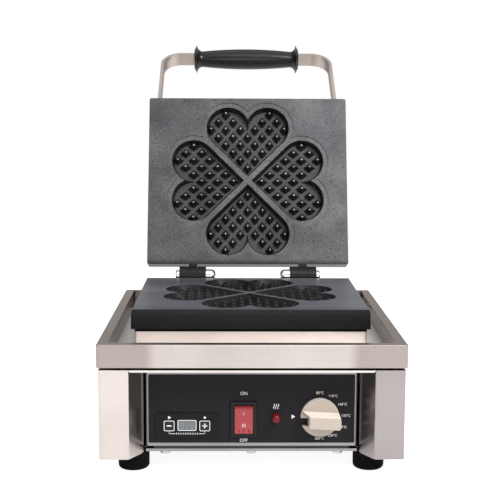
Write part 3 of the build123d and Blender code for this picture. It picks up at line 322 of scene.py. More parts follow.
@dataclass(frozen=True)
class SeasonedIron(Finish):
    """Cast iron, machined flat and oil-seasoned: grey levels with painted shade in the hollows and painted
    highlight on stud tops, near-black steep walls of soot and painted shade, pits.
    """

    # Depths in millimetres under the plane where the plates meet, each with its tone; darker deep tones are
    # painted shade, pale stud-top tones painted highlight.
    levels: tuple[tuple[float, str], ...] = ((0.0, "#6E6E70"),)
    # Colour of steep walls: seasoning soot and painted shade.
    wall: str = "#343437"
    side: str = "#161618"
    tilt: float = math.pi
    roughness: float = 0.46
    smoother: float = 0.08
    rougher: float = 0.1
    metallic: float = 0.35
    specular: float = 0.3
    flat_span: Span = (0.72, 0.97)
    # Cast pores are too fine to show in the render, so they are drawn this coarse.
    pit_mm: float = 1.5
    pit_detail: float = 2.0
    pit_tones: tuple[tuple[float, str], ...] = (
        (0.27, "#5A5A5A"), (0.42, "#CCCCCC"), (0.6, "#D4D4D4"), (0.7, WHITE))
    pit_bump: float = 0.3
    pit_bump_mm: float = 0.2
    blotch_mm: float = 40.0
    blotch_detail: float = 5.0
    blotch_low: str = "#B4B4B8"
    streak: float = 1.0
    depth_mm: float = 16.0
    middle_mm: float = 117.0
    clover_mm: float = 97.0
    clover_fade_mm: float = 2.0
    # Places in metres where the black begins; these two lie off the plate.
    black_below: float = -1.0
    black_behind: float = 1.0
    black_fade_mm: float = 1.0

    def shade(self, tree: NodeTree, shader: Node) -> None:
        """Colour the plate by depth under its face, with painted shade deep down and painted highlight on stud
        tops, darken steep walls with soot and painted shade, scatter pits and worn specks.

        Args:
            tree: Material's node tree.
            shader: Its Principled shader.
        """
        source = add_node(tree, "TexCoord")
        coord = source.outputs["Object"]
        level = Matrix.Rotation(self.tilt, 3, "X") @ HINGE
        sunk = add_node(tree, "Mapping", values={"Rotation": (self.tilt, 0.0, 0.0), "Location": -level},
                        links={"Vector": coord})
        depth = add_node(tree, "SeparateXYZ", links={"Vector": sunk.outputs[0]})
        share = add_node(tree, "MapRange", values={"From Min": 0.0, "From Max": self.depth_mm * MM},
                         links={"Value": depth.outputs["Z"]})
        # Painted shade deep in the hearts, painted highlight on the stud tops.
        tone = add_node(tree, "ValToRGB", links={"Fac": share.outputs[0]})
        set_ramp(tone, [(place / self.depth_mm, colour) for place, colour in self.levels])
        # Steep walls take the wall tone: soot and painted shade.
        base = add_node(tree, "Mix", {"data_type": "RGBA"}, links={
            0: self.level_face_share(tree, source), 6: self.wall_tone(tree, depth), 7: tone.outputs[0]})
        scale = 1 / (self.blotch_mm * MM)
        drawn = add_node(tree, "Mapping", values={"Scale": (scale / self.streak, scale, scale)},
                         links={"Vector": coord})
        blotch = add_node(tree, "TexNoise", values={"Scale": 1.0, "Detail": self.blotch_detail},
                          links={"Vector": drawn.outputs[0]})
        speck = add_node(
            tree, "TexNoise", values={"Scale": 1 / (self.pit_mm * MM), "Detail": self.pit_detail},
            links={"Vector": coord})
        wear = add_node(tree, "ValToRGB", links={"Fac": blotch.outputs["Fac"]})
        set_ramp(wear, zip(NOISE_SPAN, (self.blotch_low, WHITE)))
        pits = add_node(tree, "ValToRGB", links={"Fac": speck.outputs["Fac"]})
        set_ramp(pits, self.pit_tones)
        worn = add_node(tree, "Mix", MULTIPLY, {0: 1.0}, {6: base.outputs[2], 7: wear.outputs[0]})
        pitted = add_node(tree, "Mix", MULTIPLY, {0: 1.0}, {6: worn.outputs[2], 7: pits.outputs[0]})
        spread = add_node(tree, "MapRange", values={
            **NOISE_RANGE,
            "To Min": self.roughness - self.smoother, "To Max": self.roughness + self.rougher},
            links={"Value": speck.outputs["Fac"]})
        bump = add_node(
            tree, "Bump", values={"Strength": self.pit_bump, "Distance": self.pit_bump_mm * MM},
            links={"Height": speck.outputs["Fac"]})
        feed(tree, shader, {"Metallic": self.metallic, "Specular IOR Level": self.specular}, {
            "Base Color": pitted.outputs[2], "Roughness": spread.outputs[0], "Normal": bump.outputs[0]})

    def level_face_share(self, tree: NodeTree, source: Node) -> NodeSocket:
        """Find the level faces, leaving out the hinge's black eyes and tongues.

        Args:
            tree: Material's node tree.
            source: Texture coordinate node.

        Returns:
            One on a level face of the plate, falling to zero on steep or black ones.
        """
        turned = add_node(tree, "Mapping", values={"Rotation": (self.tilt, 0.0, 0.0)},
                          links={"Vector": source.outputs["Normal"]})
        split = add_node(tree, "SeparateXYZ", links={"Vector": turned.outputs[0]})
        steep = add_node(tree, "Math", {"operation": "ABSOLUTE"}, links={0: split.outputs["Z"]})
        flat = add_node(tree, "MapRange", {"interpolation_type": "SMOOTHSTEP"}, {
            "From Min": self.flat_span[0], "From Max": self.flat_span[1]}, {"Value": steep.outputs[0]})
        place = add_node(tree, "SeparateXYZ", links={"Vector": source.outputs["Object"]})
        fade = self.black_fade_mm * MM
        above = add_node(tree, "MapRange", values={
            "From Min": self.black_below, "From Max": self.black_below + fade},
            links={"Value": place.outputs["Z"]})
        ahead = add_node(tree, "MapRange", values={
            "From Min": self.black_behind, "From Max": self.black_behind + fade,
            "To Min": 1.0, "To Max": 0.0}, links={"Value": place.outputs["Y"]})
        body = add_node(tree, "Math", {"operation": "MULTIPLY"},
                        links={0: above.outputs[0], 1: ahead.outputs[0]})
        level_face = add_node(tree, "Math", {"operation": "MULTIPLY"},
                        links={0: flat.outputs[0], 1: body.outputs[0]})
        return level_face.outputs[0]

    def wall_tone(self, tree: NodeTree, place: Node) -> NodeSocket:
        """Tell the hearts' walls, darkened with soot and painted shade, from the plate's black outer sides by
        their reach from its middle.

        Args:
            tree: Material's node tree.
            place: Node that splits the place relative to the hinge.

        Returns:
            Colour of steep faces.
        """
        across = add_node(tree, "Math", {"operation": "ABSOLUTE"}, links={0: place.outputs["X"]})
        along = add_node(tree, "Math", {"operation": "ABSOLUTE"}, links={0: place.outputs["Y"]})
        off = add_node(tree, "Math", {"operation": "SUBTRACT"}, {1: self.middle_mm * MM},
                       {0: along.outputs[0]})
        away = add_node(tree, "Math", {"operation": "ABSOLUTE"}, links={0: off.outputs[0]})
        reach = add_node(tree, "Math", {"operation": "MAXIMUM"},
                         links={0: across.outputs[0], 1: away.outputs[0]})
        outer = add_node(tree, "MapRange", values={
            "From Min": self.clover_mm * MM, "From Max": (self.clover_mm + self.clover_fade_mm) * MM},
            links={"Value": reach.outputs[0]})
        return add_node(tree, "Mix", {"data_type": "RGBA"}, {6: linear(self.wall), 7: linear(self.side)},
                        {0: outer.outputs[0]}).outputs[2]


@dataclass(frozen=True)
class Moulded(Finish):
    """Solid colour, moulded, drawn, felted or printed: fine grain and a slightly uneven tone."""

    light: str = "#303030"
    dark: str = "#202020"
    roughness: float = 0.5
    smooth_share: float = 0.85
    rough_share: float = 1.15
    # Mould grain is too fine to show in the render, so it is drawn this coarse.
    grain_mm: float = 1.2
    grain_detail: float = 3.0
    bump: float = 0.1
    bump_mm: float = 0.1
    metallic: float = 0.0
    specular: float = 0.5
    # Strength of a painted glow in the part's own colour.
    glow: float = 0.0
    # Painted light: colour of faces that look up, lighter as if lit from above, if they differ.
    top_light_tone: str = ""
    top_light_span: Span = (0.8, 0.95)

    def shade(self, tree: NodeTree, shader: Node) -> None:
        """Vary tone and roughness by one fine noise.

        Args:
            tree: Material's node tree.
            shader: Its Principled shader.
        """
        source = add_node(tree, "TexCoord")
        grain = add_node(
            tree, "TexNoise", values={"Scale": 1 / (self.grain_mm * MM), "Detail": self.grain_detail},
            links={"Vector": source.outputs["Object"]})
        tone = add_node(tree, "ValToRGB", links={"Fac": grain.outputs["Fac"]})
        set_ramp(tone, zip(NOISE_SPAN, (self.dark, self.light)))
        colour = tone.outputs[0]
        # Painted light on upward faces.
        if self.top_light_tone:
            colour = self.painted_top_light(tree, source, colour)
        spread = add_node(tree, "MapRange", values={
            **NOISE_RANGE,
            "To Min": self.roughness * self.smooth_share, "To Max": self.roughness * self.rough_share},
            links={"Value": grain.outputs["Fac"]})
        relief = add_node(tree, "Bump", values={"Strength": self.bump, "Distance": self.bump_mm * MM},
                          links={"Height": grain.outputs["Fac"]})
        feed(tree, shader, {"Metallic": self.metallic, "Specular IOR Level": self.specular},
             {"Base Color": colour, "Roughness": spread.outputs[0], "Normal": relief.outputs[0]})
        # Painted glow, though the part is no lamp.
        if self.glow:
            feed(tree, shader, {"Emission Strength": self.glow}, {"Emission Color": colour})

    def painted_top_light(self, tree: NodeTree, source: Node, colour: NodeSocket) -> NodeSocket:
        """Paint light on the faces that look up at rest, as if lit from above.

        Args:
            tree: Material's node tree.
            source: Texture coordinate node.
            colour: Colour of the other faces.

        Returns:
            Colour of all faces.
        """
        split = add_node(tree, "SeparateXYZ", links={"Vector": source.outputs["Normal"]})
        upward = add_node(tree, "MapRange", values={
            "From Min": self.top_light_span[0], "From Max": self.top_light_span[1]},
            links={"Value": split.outputs["Z"]})
        return add_node(tree, "Mix", {"data_type": "RGBA"}, {7: linear(self.top_light_tone)},
                        {0: upward.outputs[0], 6: colour}).outputs[2]


@dataclass(frozen=True)
class LitPaper(Finish):
    """Matt white paper on a light table: evenly pale, with soft faint shadows."""

    light: str = "#B8B8B8"
    dark: str = "#B2B2B2"
    roughness: float = 0.9
    specular: float = 0.1
    glow: float = 0.84
    grain_mm: float = 20.0

    def shade(self, tree: NodeTree, shader: Node) -> None:
        """Give the paper a faint mottle and its even glow.

        Args:
            tree: Material's node tree.
            shader: Its Principled shader.
        """
        coord = add_node(tree, "TexCoord").outputs["Object"]
        mottle = add_node(tree, "TexNoise", values={"Scale": 1 / (self.grain_mm * MM)},
                          links={"Vector": coord})
        tone = add_node(tree, "ValToRGB", links={"Fac": mottle.outputs["Fac"]})
        set_ramp(tone, zip(NOISE_SPAN, (self.dark, self.light)))
        feed(tree, shader, {
            "Roughness": self.roughness, "Specular IOR Level": self.specular,
            "Emission Color": linear(WHITE), "Emission Strength": self.glow},
            {"Base Color": tone.outputs[0]})


# Cold-rolled stainless sheet, belt-brushed: pale and warm, with soft level streaks of light
SHEET_ACROSS = BrushedStainless("stainless_sheet_brushed_across", "stainless")
# The same sheet with its brushing upright: tall soft bands of light
SHEET_UP = BrushedStainless(
    "stainless_sheet_brushed_upright", "stainless", light="#C4BBB7", dark="#B6ADA8", brush=Brush.UP)
# The same sheet painted darker and greyer for the right side: painted shade, with weaker bands
SHEET_SHADED = BrushedStainless(
    "stainless_sheet_shaded_side", "stainless", light="#979190", dark="#8D8685", brush=Brush.UP)
# Stainless flat bar, satin-ground: an even warm grey without streaks
STRAP = BrushedStainless(
    "stainless_strap_satin", "strap_steel", light="#B8AEA8", dark="#ACA29B", roughness=0.32,
    grain_low="#FCFCFC", relief=0.0)
# Stainless sheet, satin-rolled: a quiet grey, painted darker as shade for the recess behind the front rail
PANEL = BrushedStainless(
    "stainless_panel_satin", "stainless", light="#929094", dark="#868488", roughness=0.4)
# Stainless sheet, finely ground: almost white, with broad dull highlights
FOLDED = BrushedStainless(
    "stainless_sheet_satin", "stainless", light="#E0D3CE", dark="#D4C7C2", roughness=0.5, relief=0.01)
# Stainless tray: bright middle, ends darkened by painted shade, a matt deck painted lighter as if lit from above
TRAY_SHEET = BrushedStainless(
    "stainless_tray_painted_end_shade_lit_deck", "stainless", light="#B8B0AD", dark="#ACA4A0", roughness=0.24,
    shade_end_from_mm=88.0, end_shade_tone="#DAD5D2", deck_below=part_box("top_tray")[1].z - DECK_DROP_MM * MM)
# Steel fixings, zinc-plated: pale grey with a short crystalline grain
ZINC = BrushedStainless(
    "zinc_plated_steel", "zinc_steel", light="#C9C9C4", dark="#A8A8A2", grain_mm=0.6, streak_mm=2.0,
    roughness=0.34, grain_low="#E4E4E4", relief=0.1)
# Steel fixings, polished: small sharp glints
POLISHED = BrushedStainless(
    "polished_steel", "bright_fixings", light="#DEDAD6", dark="#C6C0BC", roughness=0.16, grain_mm=0.5,
    streak_mm=1.0)
# Cast iron, machined and oil-seasoned: blue-grey face drawn across, darkening with depth to near-black heart
# floors as painted shade
LOWER_IRON = SeasonedIron(
    "seasoned_cast_iron_lower", "cast_plate", roughness=0.36, streak=5.0, wall="#2C2C2E",
    levels=((0.9, "#777B82"), (1.4, "#83858B"), (3.0, "#83858B"), (5.0, "#343537")),
    black_behind=HINGE.y - HINGE_REACH_MM * MM)
# Cast iron of the same make, drier: speckled grey face, pale stud tops as painted highlight, dark heart floors as
# painted shade
UPPER_IRON = SeasonedIron(
    "seasoned_cast_iron_upper", "cast_plate", tilt=LID_OPEN, roughness=0.4,
    levels=((0.6, "#646366"), (0.9, "#6C6B6E"), (1.7, "#6C6B6E"), (2.1, "#A4A3A4"), (4.0, "#4E4D50")),
    # Its black fades in slowly: painted shade on the plate's lower border by the hinge.
    black_below=HINGE.z + HINGE_REACH_MM * MM, black_fade_mm=6.0)
# Black thermoset, moulded and polished: deep black with narrow clear glints
GRIP = Moulded(
    "polished_black_thermoset", "grip_black", light="#0A090A", dark="#060606", roughness=0.24,
    grain_mm=14.0, bump=0.01, specular=0.32)
# Black rubber, moulded: a dull black that hardly reflects
RUBBER = Moulded(
    "soft_black_rubber", "black_rubber", light="#0E0D0E", dark="#090809", roughness=0.72, grain_mm=0.8,
    specular=0.03)
# Polyester film, printed black: flat, with a faint even sheen
FILM = Moulded(
    "black_polyester_film", "panel_black", light="#1A181B", dark="#161417", roughness=0.5, grain_mm=1.0,
    bump=0.03, specular=0.1)
# Black nylon, moulded: a fine-grained sheen
BEZEL = Moulded(
    "black_nylon_moulding", "panel_black", light="#121113", dark="#0D0C0E", roughness=0.4, grain_mm=0.9,
    specular=0.12)
# Black nylon of the switch, moulded smoother: slightly glossy
HOUSING = Moulded(
    "black_switch_nylon", "black_plastic", light="#131213", dark="#0D0D0E", roughness=0.38,
    specular=0.18)
# Black key caps, moulded: a soft grey-black
KEY = Moulded(
    "black_key_moulding", "key_black", light="#1E1D1F", dark="#171618", roughness=0.45, specular=0.2)
# Screen-printed ink: matt off-white
INK = Moulded(
    "white_screen_ink", "panel_black", light="#D6D4D4", dark="#BEBCBC", roughness=0.65, grain_mm=0.5)
# Liquid crystal behind a clear window: smooth blue-grey
LIQUID = Moulded(
    "grey_liquid_crystal_window", "display_grey", light="#5A6064", dark="#4F5559", roughness=0.25,
    grain_mm=2.0, bump=0.02, specular=0.3)
# Unlit liquid-crystal segments: faint, a shade off their window
SEGMENT = Moulded(
    "unlit_liquid_crystal_segment", "display_grey", light="#7C8286", dark="#72787C", roughness=0.3)
# Moulded knob, painted silver: warm satin grey, with painted light on its upward faces
KNOB = Moulded(
    "silver_painted_knob", "knob_satin", light="#A3998F", dark="#9B9187", roughness=0.38, grain_mm=1.0,
    bump=0.03, specular=0.3, top_light_tone="#D0C5BC")
# Red polycarbonate, moulded and translucent: soft deep red, with a slight painted glow although it is no lamp
ROCKER = Moulded(
    "translucent_red_polycarbonate", "rocker_red", light="#8E3338", dark="#822C31", roughness=0.3,
    grain_mm=4.0, bump=0.03, specular=0.35, glow=0.05)
# The same red in the shade of a groove
GROOVE = Moulded(
    "shaded_red_groove", "rocker_red", light="#5A1518", dark="#4A1013", roughness=0.5, specular=0.2)
# Red lens, moulded, not lit: dark with one small glint
LAMP = Moulded(
    "dark_red_lens", "lamp_red", light="#620C17", dark="#4A0911", roughness=0.3, grain_mm=2.0,
    bump=0.03, specular=0.25)
# Mineral wool, felted: matt yellow fibres
WOOL = Moulded(
    "mineral_wool_felt", "mineral_wool", light="#CFC49A", dark="#A89B70", roughness=0.95, grain_mm=2.5,
    bump=0.8)
# Steel heater sheath, oxidised in use: dull brown-grey
SHEATH = Moulded(
    "oxidised_heater_sheath", "heater_sheath", light="#5A4E48", dark="#37302D", roughness=0.5,
    metallic=0.8, grain_mm=3.0)
# Copper tube, drawn: clear warm reflections
COPPER = Moulded(
    "drawn_copper_tube", "copper_tube", light="#C57F5B", dark="#A9623F", roughness=0.3, metallic=1.0)
# Steatite, glazed: glossy cream
CERAMIC = Moulded(
    "glazed_steatite", "block_white", light="#E9E5DA", dark="#DCD7CA", roughness=0.3, grain_mm=3.0)
# Iron bar, blackened: dull near-black
BLACK_IRON = Moulded(
    "blackened_iron_bar", "cast_plate", light="#1D1D1F", dark="#131315", roughness=0.5)
# White paper, lit from below: the even pale ground that the object stands on
PAPER = LitPaper("pale_studio_paper")


# Mesh helpers


def only(piece: Object) -> None:
    """Make one object the only selected and active one.

    Args:
        piece: Object to select.
    """
    bpy.ops.object.select_all(action="DESELECT")
    piece.select_set(True)
    bpy.context.view_layer.objects.active = piece


def added(operator: Callable[..., set[str]], **settings: Any) -> Object:
    """Deselect everything and add one new shape.

    Args:
        operator: Operator that adds the shape.
        settings: Settings of the operator.

    Returns:
        The new object, selected and active.
    """
    bpy.ops.object.select_all(action="DESELECT")
    operator(**settings)
    return bpy.context.active_object


def in_edit(piece: Object, steps: Callable[[], None]) -> None:
    """Run edit-mode steps on a whole selected mesh.

    Args:
        piece: Mesh object to work on.
        steps: Function that calls the edit-mode operators.
    """
    only(piece)
    bpy.ops.object.mode_set(mode="EDIT")
    bpy.ops.mesh.select_mode(type="VERT")
    bpy.ops.mesh.select_all(action="SELECT")
    steps()
    bpy.ops.object.mode_set(mode="OBJECT")


def apply_modifier(piece: Object, kind: str, **settings: Any) -> None:
    """Add a modifier with settings and apply it.

    Args:
        piece: Mesh object to change.
        kind: Modifier type.
        settings: Attributes of the modifier.
    """
    only(piece)
    modifier = piece.modifiers.new(kind.lower(), kind)
    for name, value in settings.items():
        setattr(modifier, name, value)
    bpy.ops.object.modifier_apply(modifier=modifier.name)


def facing_front(piece: Object, centre: Point) -> None:
    """Stand a flat piece drawn in X and Y upright, looking forward, at a place."""
    piece.matrix_world = Matrix.Translation(centre) @ Matrix.Rotation(math.pi / 2, 4, "X")


Dressed = dict[Finish, tuple[str, ...]]
Softened = dict[str, tuple[Finish, float]]


@dataclass
class Assembly:
    """CAD nodes with their finishes, those whose edges get rounded, and pieces made beside them."""

    dressed: Dressed = field(default_factory=dict)
    softened: Softened = field(default_factory=dict)
    segments: int = 2
    sharp_angle: float = math.radians(32.0)
    level_angle: float = math.radians(0.4)
    merge_mm: float = 0.002
    pieces: list[str] = field(default_factory=list)

    def build(self) -> list[str]:
        """Dress the plain nodes, replace the softened ones and add detail.

        Returns:
            Names of the pieces, in the order that they were made.
        """
        for finish, nodes in self.dressed.items():
            for node in nodes:
                self.dress(frame["nodes"][node], finish)
        for node, (finish, width) in self.softened.items():
            self.soften(node, finish, width)
        self.add_detail()
        return self.pieces

    def add_detail(self) -> None:
        """Model what the CAD nodes don't show."""

    def dress(self, piece: Object, finish: Finish) -> None:
        """Give a piece its finish and note its name.

        Args:
            piece: CAD node or new piece.
            finish: Finish to dress it in.
        """
        piece.data.materials.clear()
        piece.data.materials.append(finish.material())
        self.pieces.append(piece.name)

    def settle(self, piece: Object, name: str, finish: Finish, body: str) -> Object:
        """Name a new piece, bake its place into its mesh, dress it and let it ride.

        Args:
            piece: Mesh object in place.
            name: Name to give it.
            finish: Finish to dress it in.
            body: Body that it moves with.

        Returns:
            The piece.
        """
        only(piece)
        bpy.ops.object.transform_apply(location=True, rotation=True, scale=True)
        piece.name = name
        self.dress(piece, finish)
        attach(piece, body)
        return piece

    def soften(self, node: str, finish: Finish, width_mm: float) -> Object:
        """Replace a CAD node by a merged copy whose sharp edges are rounded.

        Args:
            node: CAD node's name.
            finish: Finish of the copy.
            width_mm: Width of the rounding in millimetres.

        Returns:
            The copy.
        """
        mesh = frame["nodes"][node].data.copy()
        piece = bpy.data.objects.new(node + "_finished", mesh)
        bpy.context.scene.collection.objects.link(piece)
        only(piece)
        bpy.ops.mesh.customdata_custom_splitnormals_clear()

        def merge() -> None:
            """Join the loose triangles into flat faces."""
            bpy.ops.mesh.remove_doubles(threshold=self.merge_mm * MM)
            bpy.ops.mesh.dissolve_limited(angle_limit=self.level_angle)

        in_edit(piece, merge)
        apply_modifier(piece, "BEVEL", width=width_mm * MM, segments=self.segments,
                       limit_method="ANGLE", angle_limit=self.sharp_angle,
                       use_clamp_overlap=True, miter_outer="MITER_ARC")
        only(piece)
        bpy.ops.object.shade_smooth_by_angle(angle=self.sharp_angle)
        apply_modifier(piece, "WEIGHTED_NORMAL", keep_sharp=True)
        self.settle(piece, node + "_finished", finish, body_of(node))
        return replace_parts(piece, node)


@dataclass
class Casing(Assembly):
    """Folded steel casing, its floor, feet, rear wall and fasteners."""

    softened: Softened = field(default_factory=lambda: {
        "side_panel_left": (SHEET_UP, 0.25),
        "side_panel_right": (SHEET_SHADED, 0.25),
        "rear_panel": (SHEET_ACROSS, 0.25),
        "bottom_plate": (PANEL, 0.25),
        "front_rail": (SHEET_ACROSS, 0.25),
        "control_panel": (PANEL, 0.25),
    })
    dressed: Dressed = field(default_factory=lambda: {
        RUBBER: ("rubber_feet", "tray_seal", "rear_lead_bush"),
        ZINC: ("foot_screws", "foot_nuts", "bottom_screws", "rear_screws", "tray_fixings",
               "gland_locknut", "terminal_block_screws"),
        BLACK_IRON: ("panel_nut_bar",),
        HOUSING: ("cable_gland",),
        CERAMIC: ("terminal_block",),
    })


@dataclass
class Tray(Assembly):
    """Drip tray with the pedestal that carries the lower plate."""

    softened: Softened = field(default_factory=lambda: {
        "top_tray": (TRAY_SHEET, 0.5),
        "plate_pedestal": (FOLDED, 0.8),
    })
    dressed: Dressed = field(default_factory=lambda: {
        RUBBER: ("plate_gasket",),
        ZINC: ("plate_bolts",),
    })


@dataclass
class Plates(Assembly):
    """The two cast plates, their heaters and the hinge."""

    softened: Softened = field(default_factory=lambda: {
        "lower_plate": (LOWER_IRON, 0.6),
        "upper_plate": (UPPER_IRON, 0.6),
    })
    dressed: Dressed = field(default_factory=lambda: {
        POLISHED: ("hinge_bolts", "hinge_washers", "hinge_dome_nuts"),
        SHEATH: ("lower_heating_element", "upper_heating_element"),
        ZINC: ("lower_element_clamp", "upper_element_clamp", "lower_clamp_fixings",
               "upper_clamp_fixings"),
        WOOL: ("lower_insulation", "upper_insulation"),
        COPPER: ("thermostat_capillary",),
    })


@dataclass
class LidTop(Assembly):
    """Lid cover, handle strap and grip."""

    softened: Softened = field(default_factory=lambda: {
        "handle_strap": (STRAP, 0.6),
        "lid_cover": (SHEET_ACROSS, 0.25),
    })
    dressed: Dressed = field(default_factory=lambda: {
        GRIP: ("handle_grip",),
        POLISHED: ("handle_screws",),
        ZINC: ("handle_nuts", "cover_pillars", "cover_screws"),
        RUBBER: ("lid_lead_bush",),
    })


@dataclass
class Controls(Assembly):
    """Control panel's facing, its controls and the printing on them."""

    softened: Softened = field(default_factory=lambda: {
        "thermostat_knob": (KNOB, 0.5),
        "switch_housing": (HOUSING, 0.3),
        "power_rocker": (ROCKER, 0.5),
        "timer_bezel": (BEZEL, 0.25),
        "timer_minus_button": (KEY, 0.25),
        "timer_plus_button": (KEY, 0.25),
    })
    dressed: Dressed = field(default_factory=lambda: {
        FILM: ("panel_overlay",),
        LIQUID: ("timer_display",),
        HOUSING: ("timer_case", "thermostat_body", "lamp_body"),
        ZINC: ("thermostat_screws", "thermostat_shaft"),
        LAMP: ("lamp_lens",),
    })
    ink_mm: float = 0.04
    ink_corner: float = 0.3
    corner_steps: int = 4
    label_mm: float = 4.4
    dial_mm: float = 3.5
    dial_across_mm: float = 25.0
    dial_up_mm: float = 22.4
    dial_lift_mm: float = 0.8
    dial_first: int = 80
    dial_step: int = 30
    dial_marks: int = 7
    arrow_mm: float = 2.3
    arrow_gap_mm: float = 7.2
    arrow_blunt: float = 1 / 12
    arrow_steps: int = 2
    on_gap_mm: float = 7.6
    off_gap_mm: float = 3.4
    frame_inset_mm: float = 1.0
    frame_line_mm: float = 0.6
    frame_corner_mm: float = 1.3
    glyph_mm: float = 4.6
    glyph_line_mm: float = 1.1
    window_inset_mm: float = 0.25
    caption_mm: float = 2.0
    caption_gap_mm: float = 1.7
    bracket_drop_mm: float = 2.9
    bracket_reach_mm: float = 6.0
    bracket_line_mm: float = 0.45
    scale_ticks: int = 13
    scale_pitch_mm: float = 1.65
    scale_tick_mm: float = 1.7
    digit_count: int = 3
    digit_width_mm: float = 2.9
    digit_height_mm: float = 5.6
    digit_pitch_mm: float = 4.8
    digit_line_mm: float = 0.5
    heat_lines: int = 3
    heat_steps: int = 14
    heat_height_mm: float = 5.0
    heat_pitch_mm: float = 2.0
    heat_sway_mm: float = 0.55
    heat_gap_mm: float = 3.4
    rocker_facet_mm: float = 6.0
    rocker_mark_mm: float = 4.6
    groove_mm: float = 3.2
    groove_line_mm: float = 0.8
    groove_pitch_mm: float = 4.6
    groove_place_mm: float = 11.0
    grooves: int = 3
    front_lean: float = -0.8

    def add_detail(self) -> None:
        """Print the panel and mark the keys, the rocker and the display."""
        self.print_switch_words()
        self.print_dial()
        self.print_heat_sign()
        self.mark_keys()
        self.mark_display()
        self.mark_rocker()

    def panel_front(self) -> float:
        """Return the depth of the black facing's front."""
        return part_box("panel_overlay")[0].y

    def words(self, name: str, text: str, size_mm: float, place: Spot, depth: float,
              body: str = "base") -> Object:
        """Print words or figures on an upright face.

        Args:
            name: Piece's name.
            text: What is printed.
            size_mm: Letter size in millimetres.
            place: Centre across and up, in metres.
            depth: Depth of the printed face, in metres.
            body: Body that the print rides on.

        Returns:
            The print.
        """
        piece = added(bpy.ops.object.text_add)
        piece.data.body = text
        piece.data.size = size_mm * MM
        piece.data.align_x = "CENTER"
        piece.data.align_y = "CENTER"
        piece.data.extrude = self.ink_mm * MM / 2
        bpy.ops.object.convert(target="MESH")
        piece = bpy.context.active_object
        facing_front(piece, (place[0], depth - self.ink_mm * MM / 2, place[1]))
        return self.settle(piece, name, INK, body)

    def plate(self, width: float, height: float, corner: float) -> Object:
        """Add a flat rounded plate in X and Y at the origin.

        Args:
            width: Size along X in metres.
            height: Size along Y in metres.
            corner: Corner radius in metres.

        Returns:
            The plate.
        """
        piece = added(bpy.ops.mesh.primitive_plane_add, size=1)
        piece.scale = (width, height, 1)
        bpy.ops.object.transform_apply(scale=True)
        in_edit(piece, lambda: bpy.ops.mesh.bevel(
            affect="VERTICES", offset=corner, segments=self.corner_steps))
        return piece

    def inked(self, piece: Object) -> Object:
        """Give a flat print the thickness of ink and return it."""
        apply_modifier(piece, "SOLIDIFY", thickness=self.ink_mm * MM, offset=1.0)
        return piece

    def outline(self, name: str, size: Spot, centre: Point, body: str = "base") -> Object:
        """Print a rounded outline on an upright face.

        Args:
            name: Piece's name.
            size: Width and height in metres.
            centre: Middle of the outline.
            body: Body that it rides on.

        Returns:
            The outline.
        """
        piece = self.plate(size[0], size[1], self.frame_corner_mm * MM)

        def open_middle() -> None:
            """Inset the plate and delete what is inside the line."""
            bpy.ops.mesh.select_mode(type="FACE")
            bpy.ops.mesh.inset(thickness=self.frame_line_mm * MM)
            bpy.ops.mesh.delete(type="FACE")

        in_edit(piece, open_middle)
        return self.printed([self.inked(piece)], name, centre, body)

    def bar(self, width: float, height: float) -> Object:
        """Add a flat printed bar in X and Y with rounded corners."""
        return self.inked(self.plate(width, height, min(width, height) * self.ink_corner))

    def copied(self, piece: Object, places: list[Spot]) -> list[Object]:
        """Repeat a flat print, each copy with its own mesh.

        Args:
            piece: Print drawn at the origin in X and Y; it becomes the last copy.
            places: Where the copies go, across and up, in metres.

        Returns:
            The copies.
        """
        copies = []
        for _ in places[1:]:
            copy = bpy.data.objects.new(piece.name, piece.data.copy())
            bpy.context.scene.collection.objects.link(copy)
            copies.append(copy)
        copies.append(piece)
        for copy, (across, up) in zip(copies, places):
            copy.data.transform(Matrix.Translation((across, up, 0)))
        return copies

    def in_row(self, count: int, pitch: float) -> list[Spot]:
        """Return evenly spaced places on a level row about the origin."""
        return [((i - (count - 1) / 2) * pitch, 0.0) for i in range(count)]

    def joined(self, pieces: list[Object]) -> Object:
        """Join mesh objects into one.

        Args:
            pieces: Objects to join, one or more.

        Returns:
            The joined object.
        """
        only(pieces[0])
        for piece in pieces[1:]:
            piece.select_set(True)
        if len(pieces) > 1:
            bpy.ops.object.join()
        return pieces[0]

    def print_switch_words(self) -> None:
        """Print the two words above and below the switch."""
        low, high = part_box("switch_housing")
        x = (low.x + high.x) / 2
        front = self.panel_front()
        self.words("switch_on_print", "ON", self.label_mm, (x, high.z + self.on_gap_mm * MM), front)
        self.words("switch_off_print", "OFF", self.label_mm, (x, low.z - self.off_gap_mm * MM), front)

    def print_dial(self) -> None:
        """Print the dial's figures from the top round to the bottom, and its arrow."""
        centre = Vector(joint_of("knob")["pos_m"])
        front = self.panel_front()
        step = math.pi / (self.dial_marks - 1)
        for i in range(self.dial_marks):
            angle = math.pi / 2 - i * step
            place = (centre.x + math.cos(angle) * self.dial_across_mm * MM,
                     centre.z + (math.sin(angle) * self.dial_up_mm + self.dial_lift_mm) * MM)
            figure = f"{self.dial_first + i * self.dial_step}°C"
            self.words(f"dial_figure_{i + 1}", figure, self.dial_mm, place, front)
        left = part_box("thermostat_knob")[0].x - self.arrow_gap_mm * MM
        arrow = self.triangle(self.arrow_mm * MM)
        self.printed([arrow], "dial_arrow_print", (left, front, centre.z))

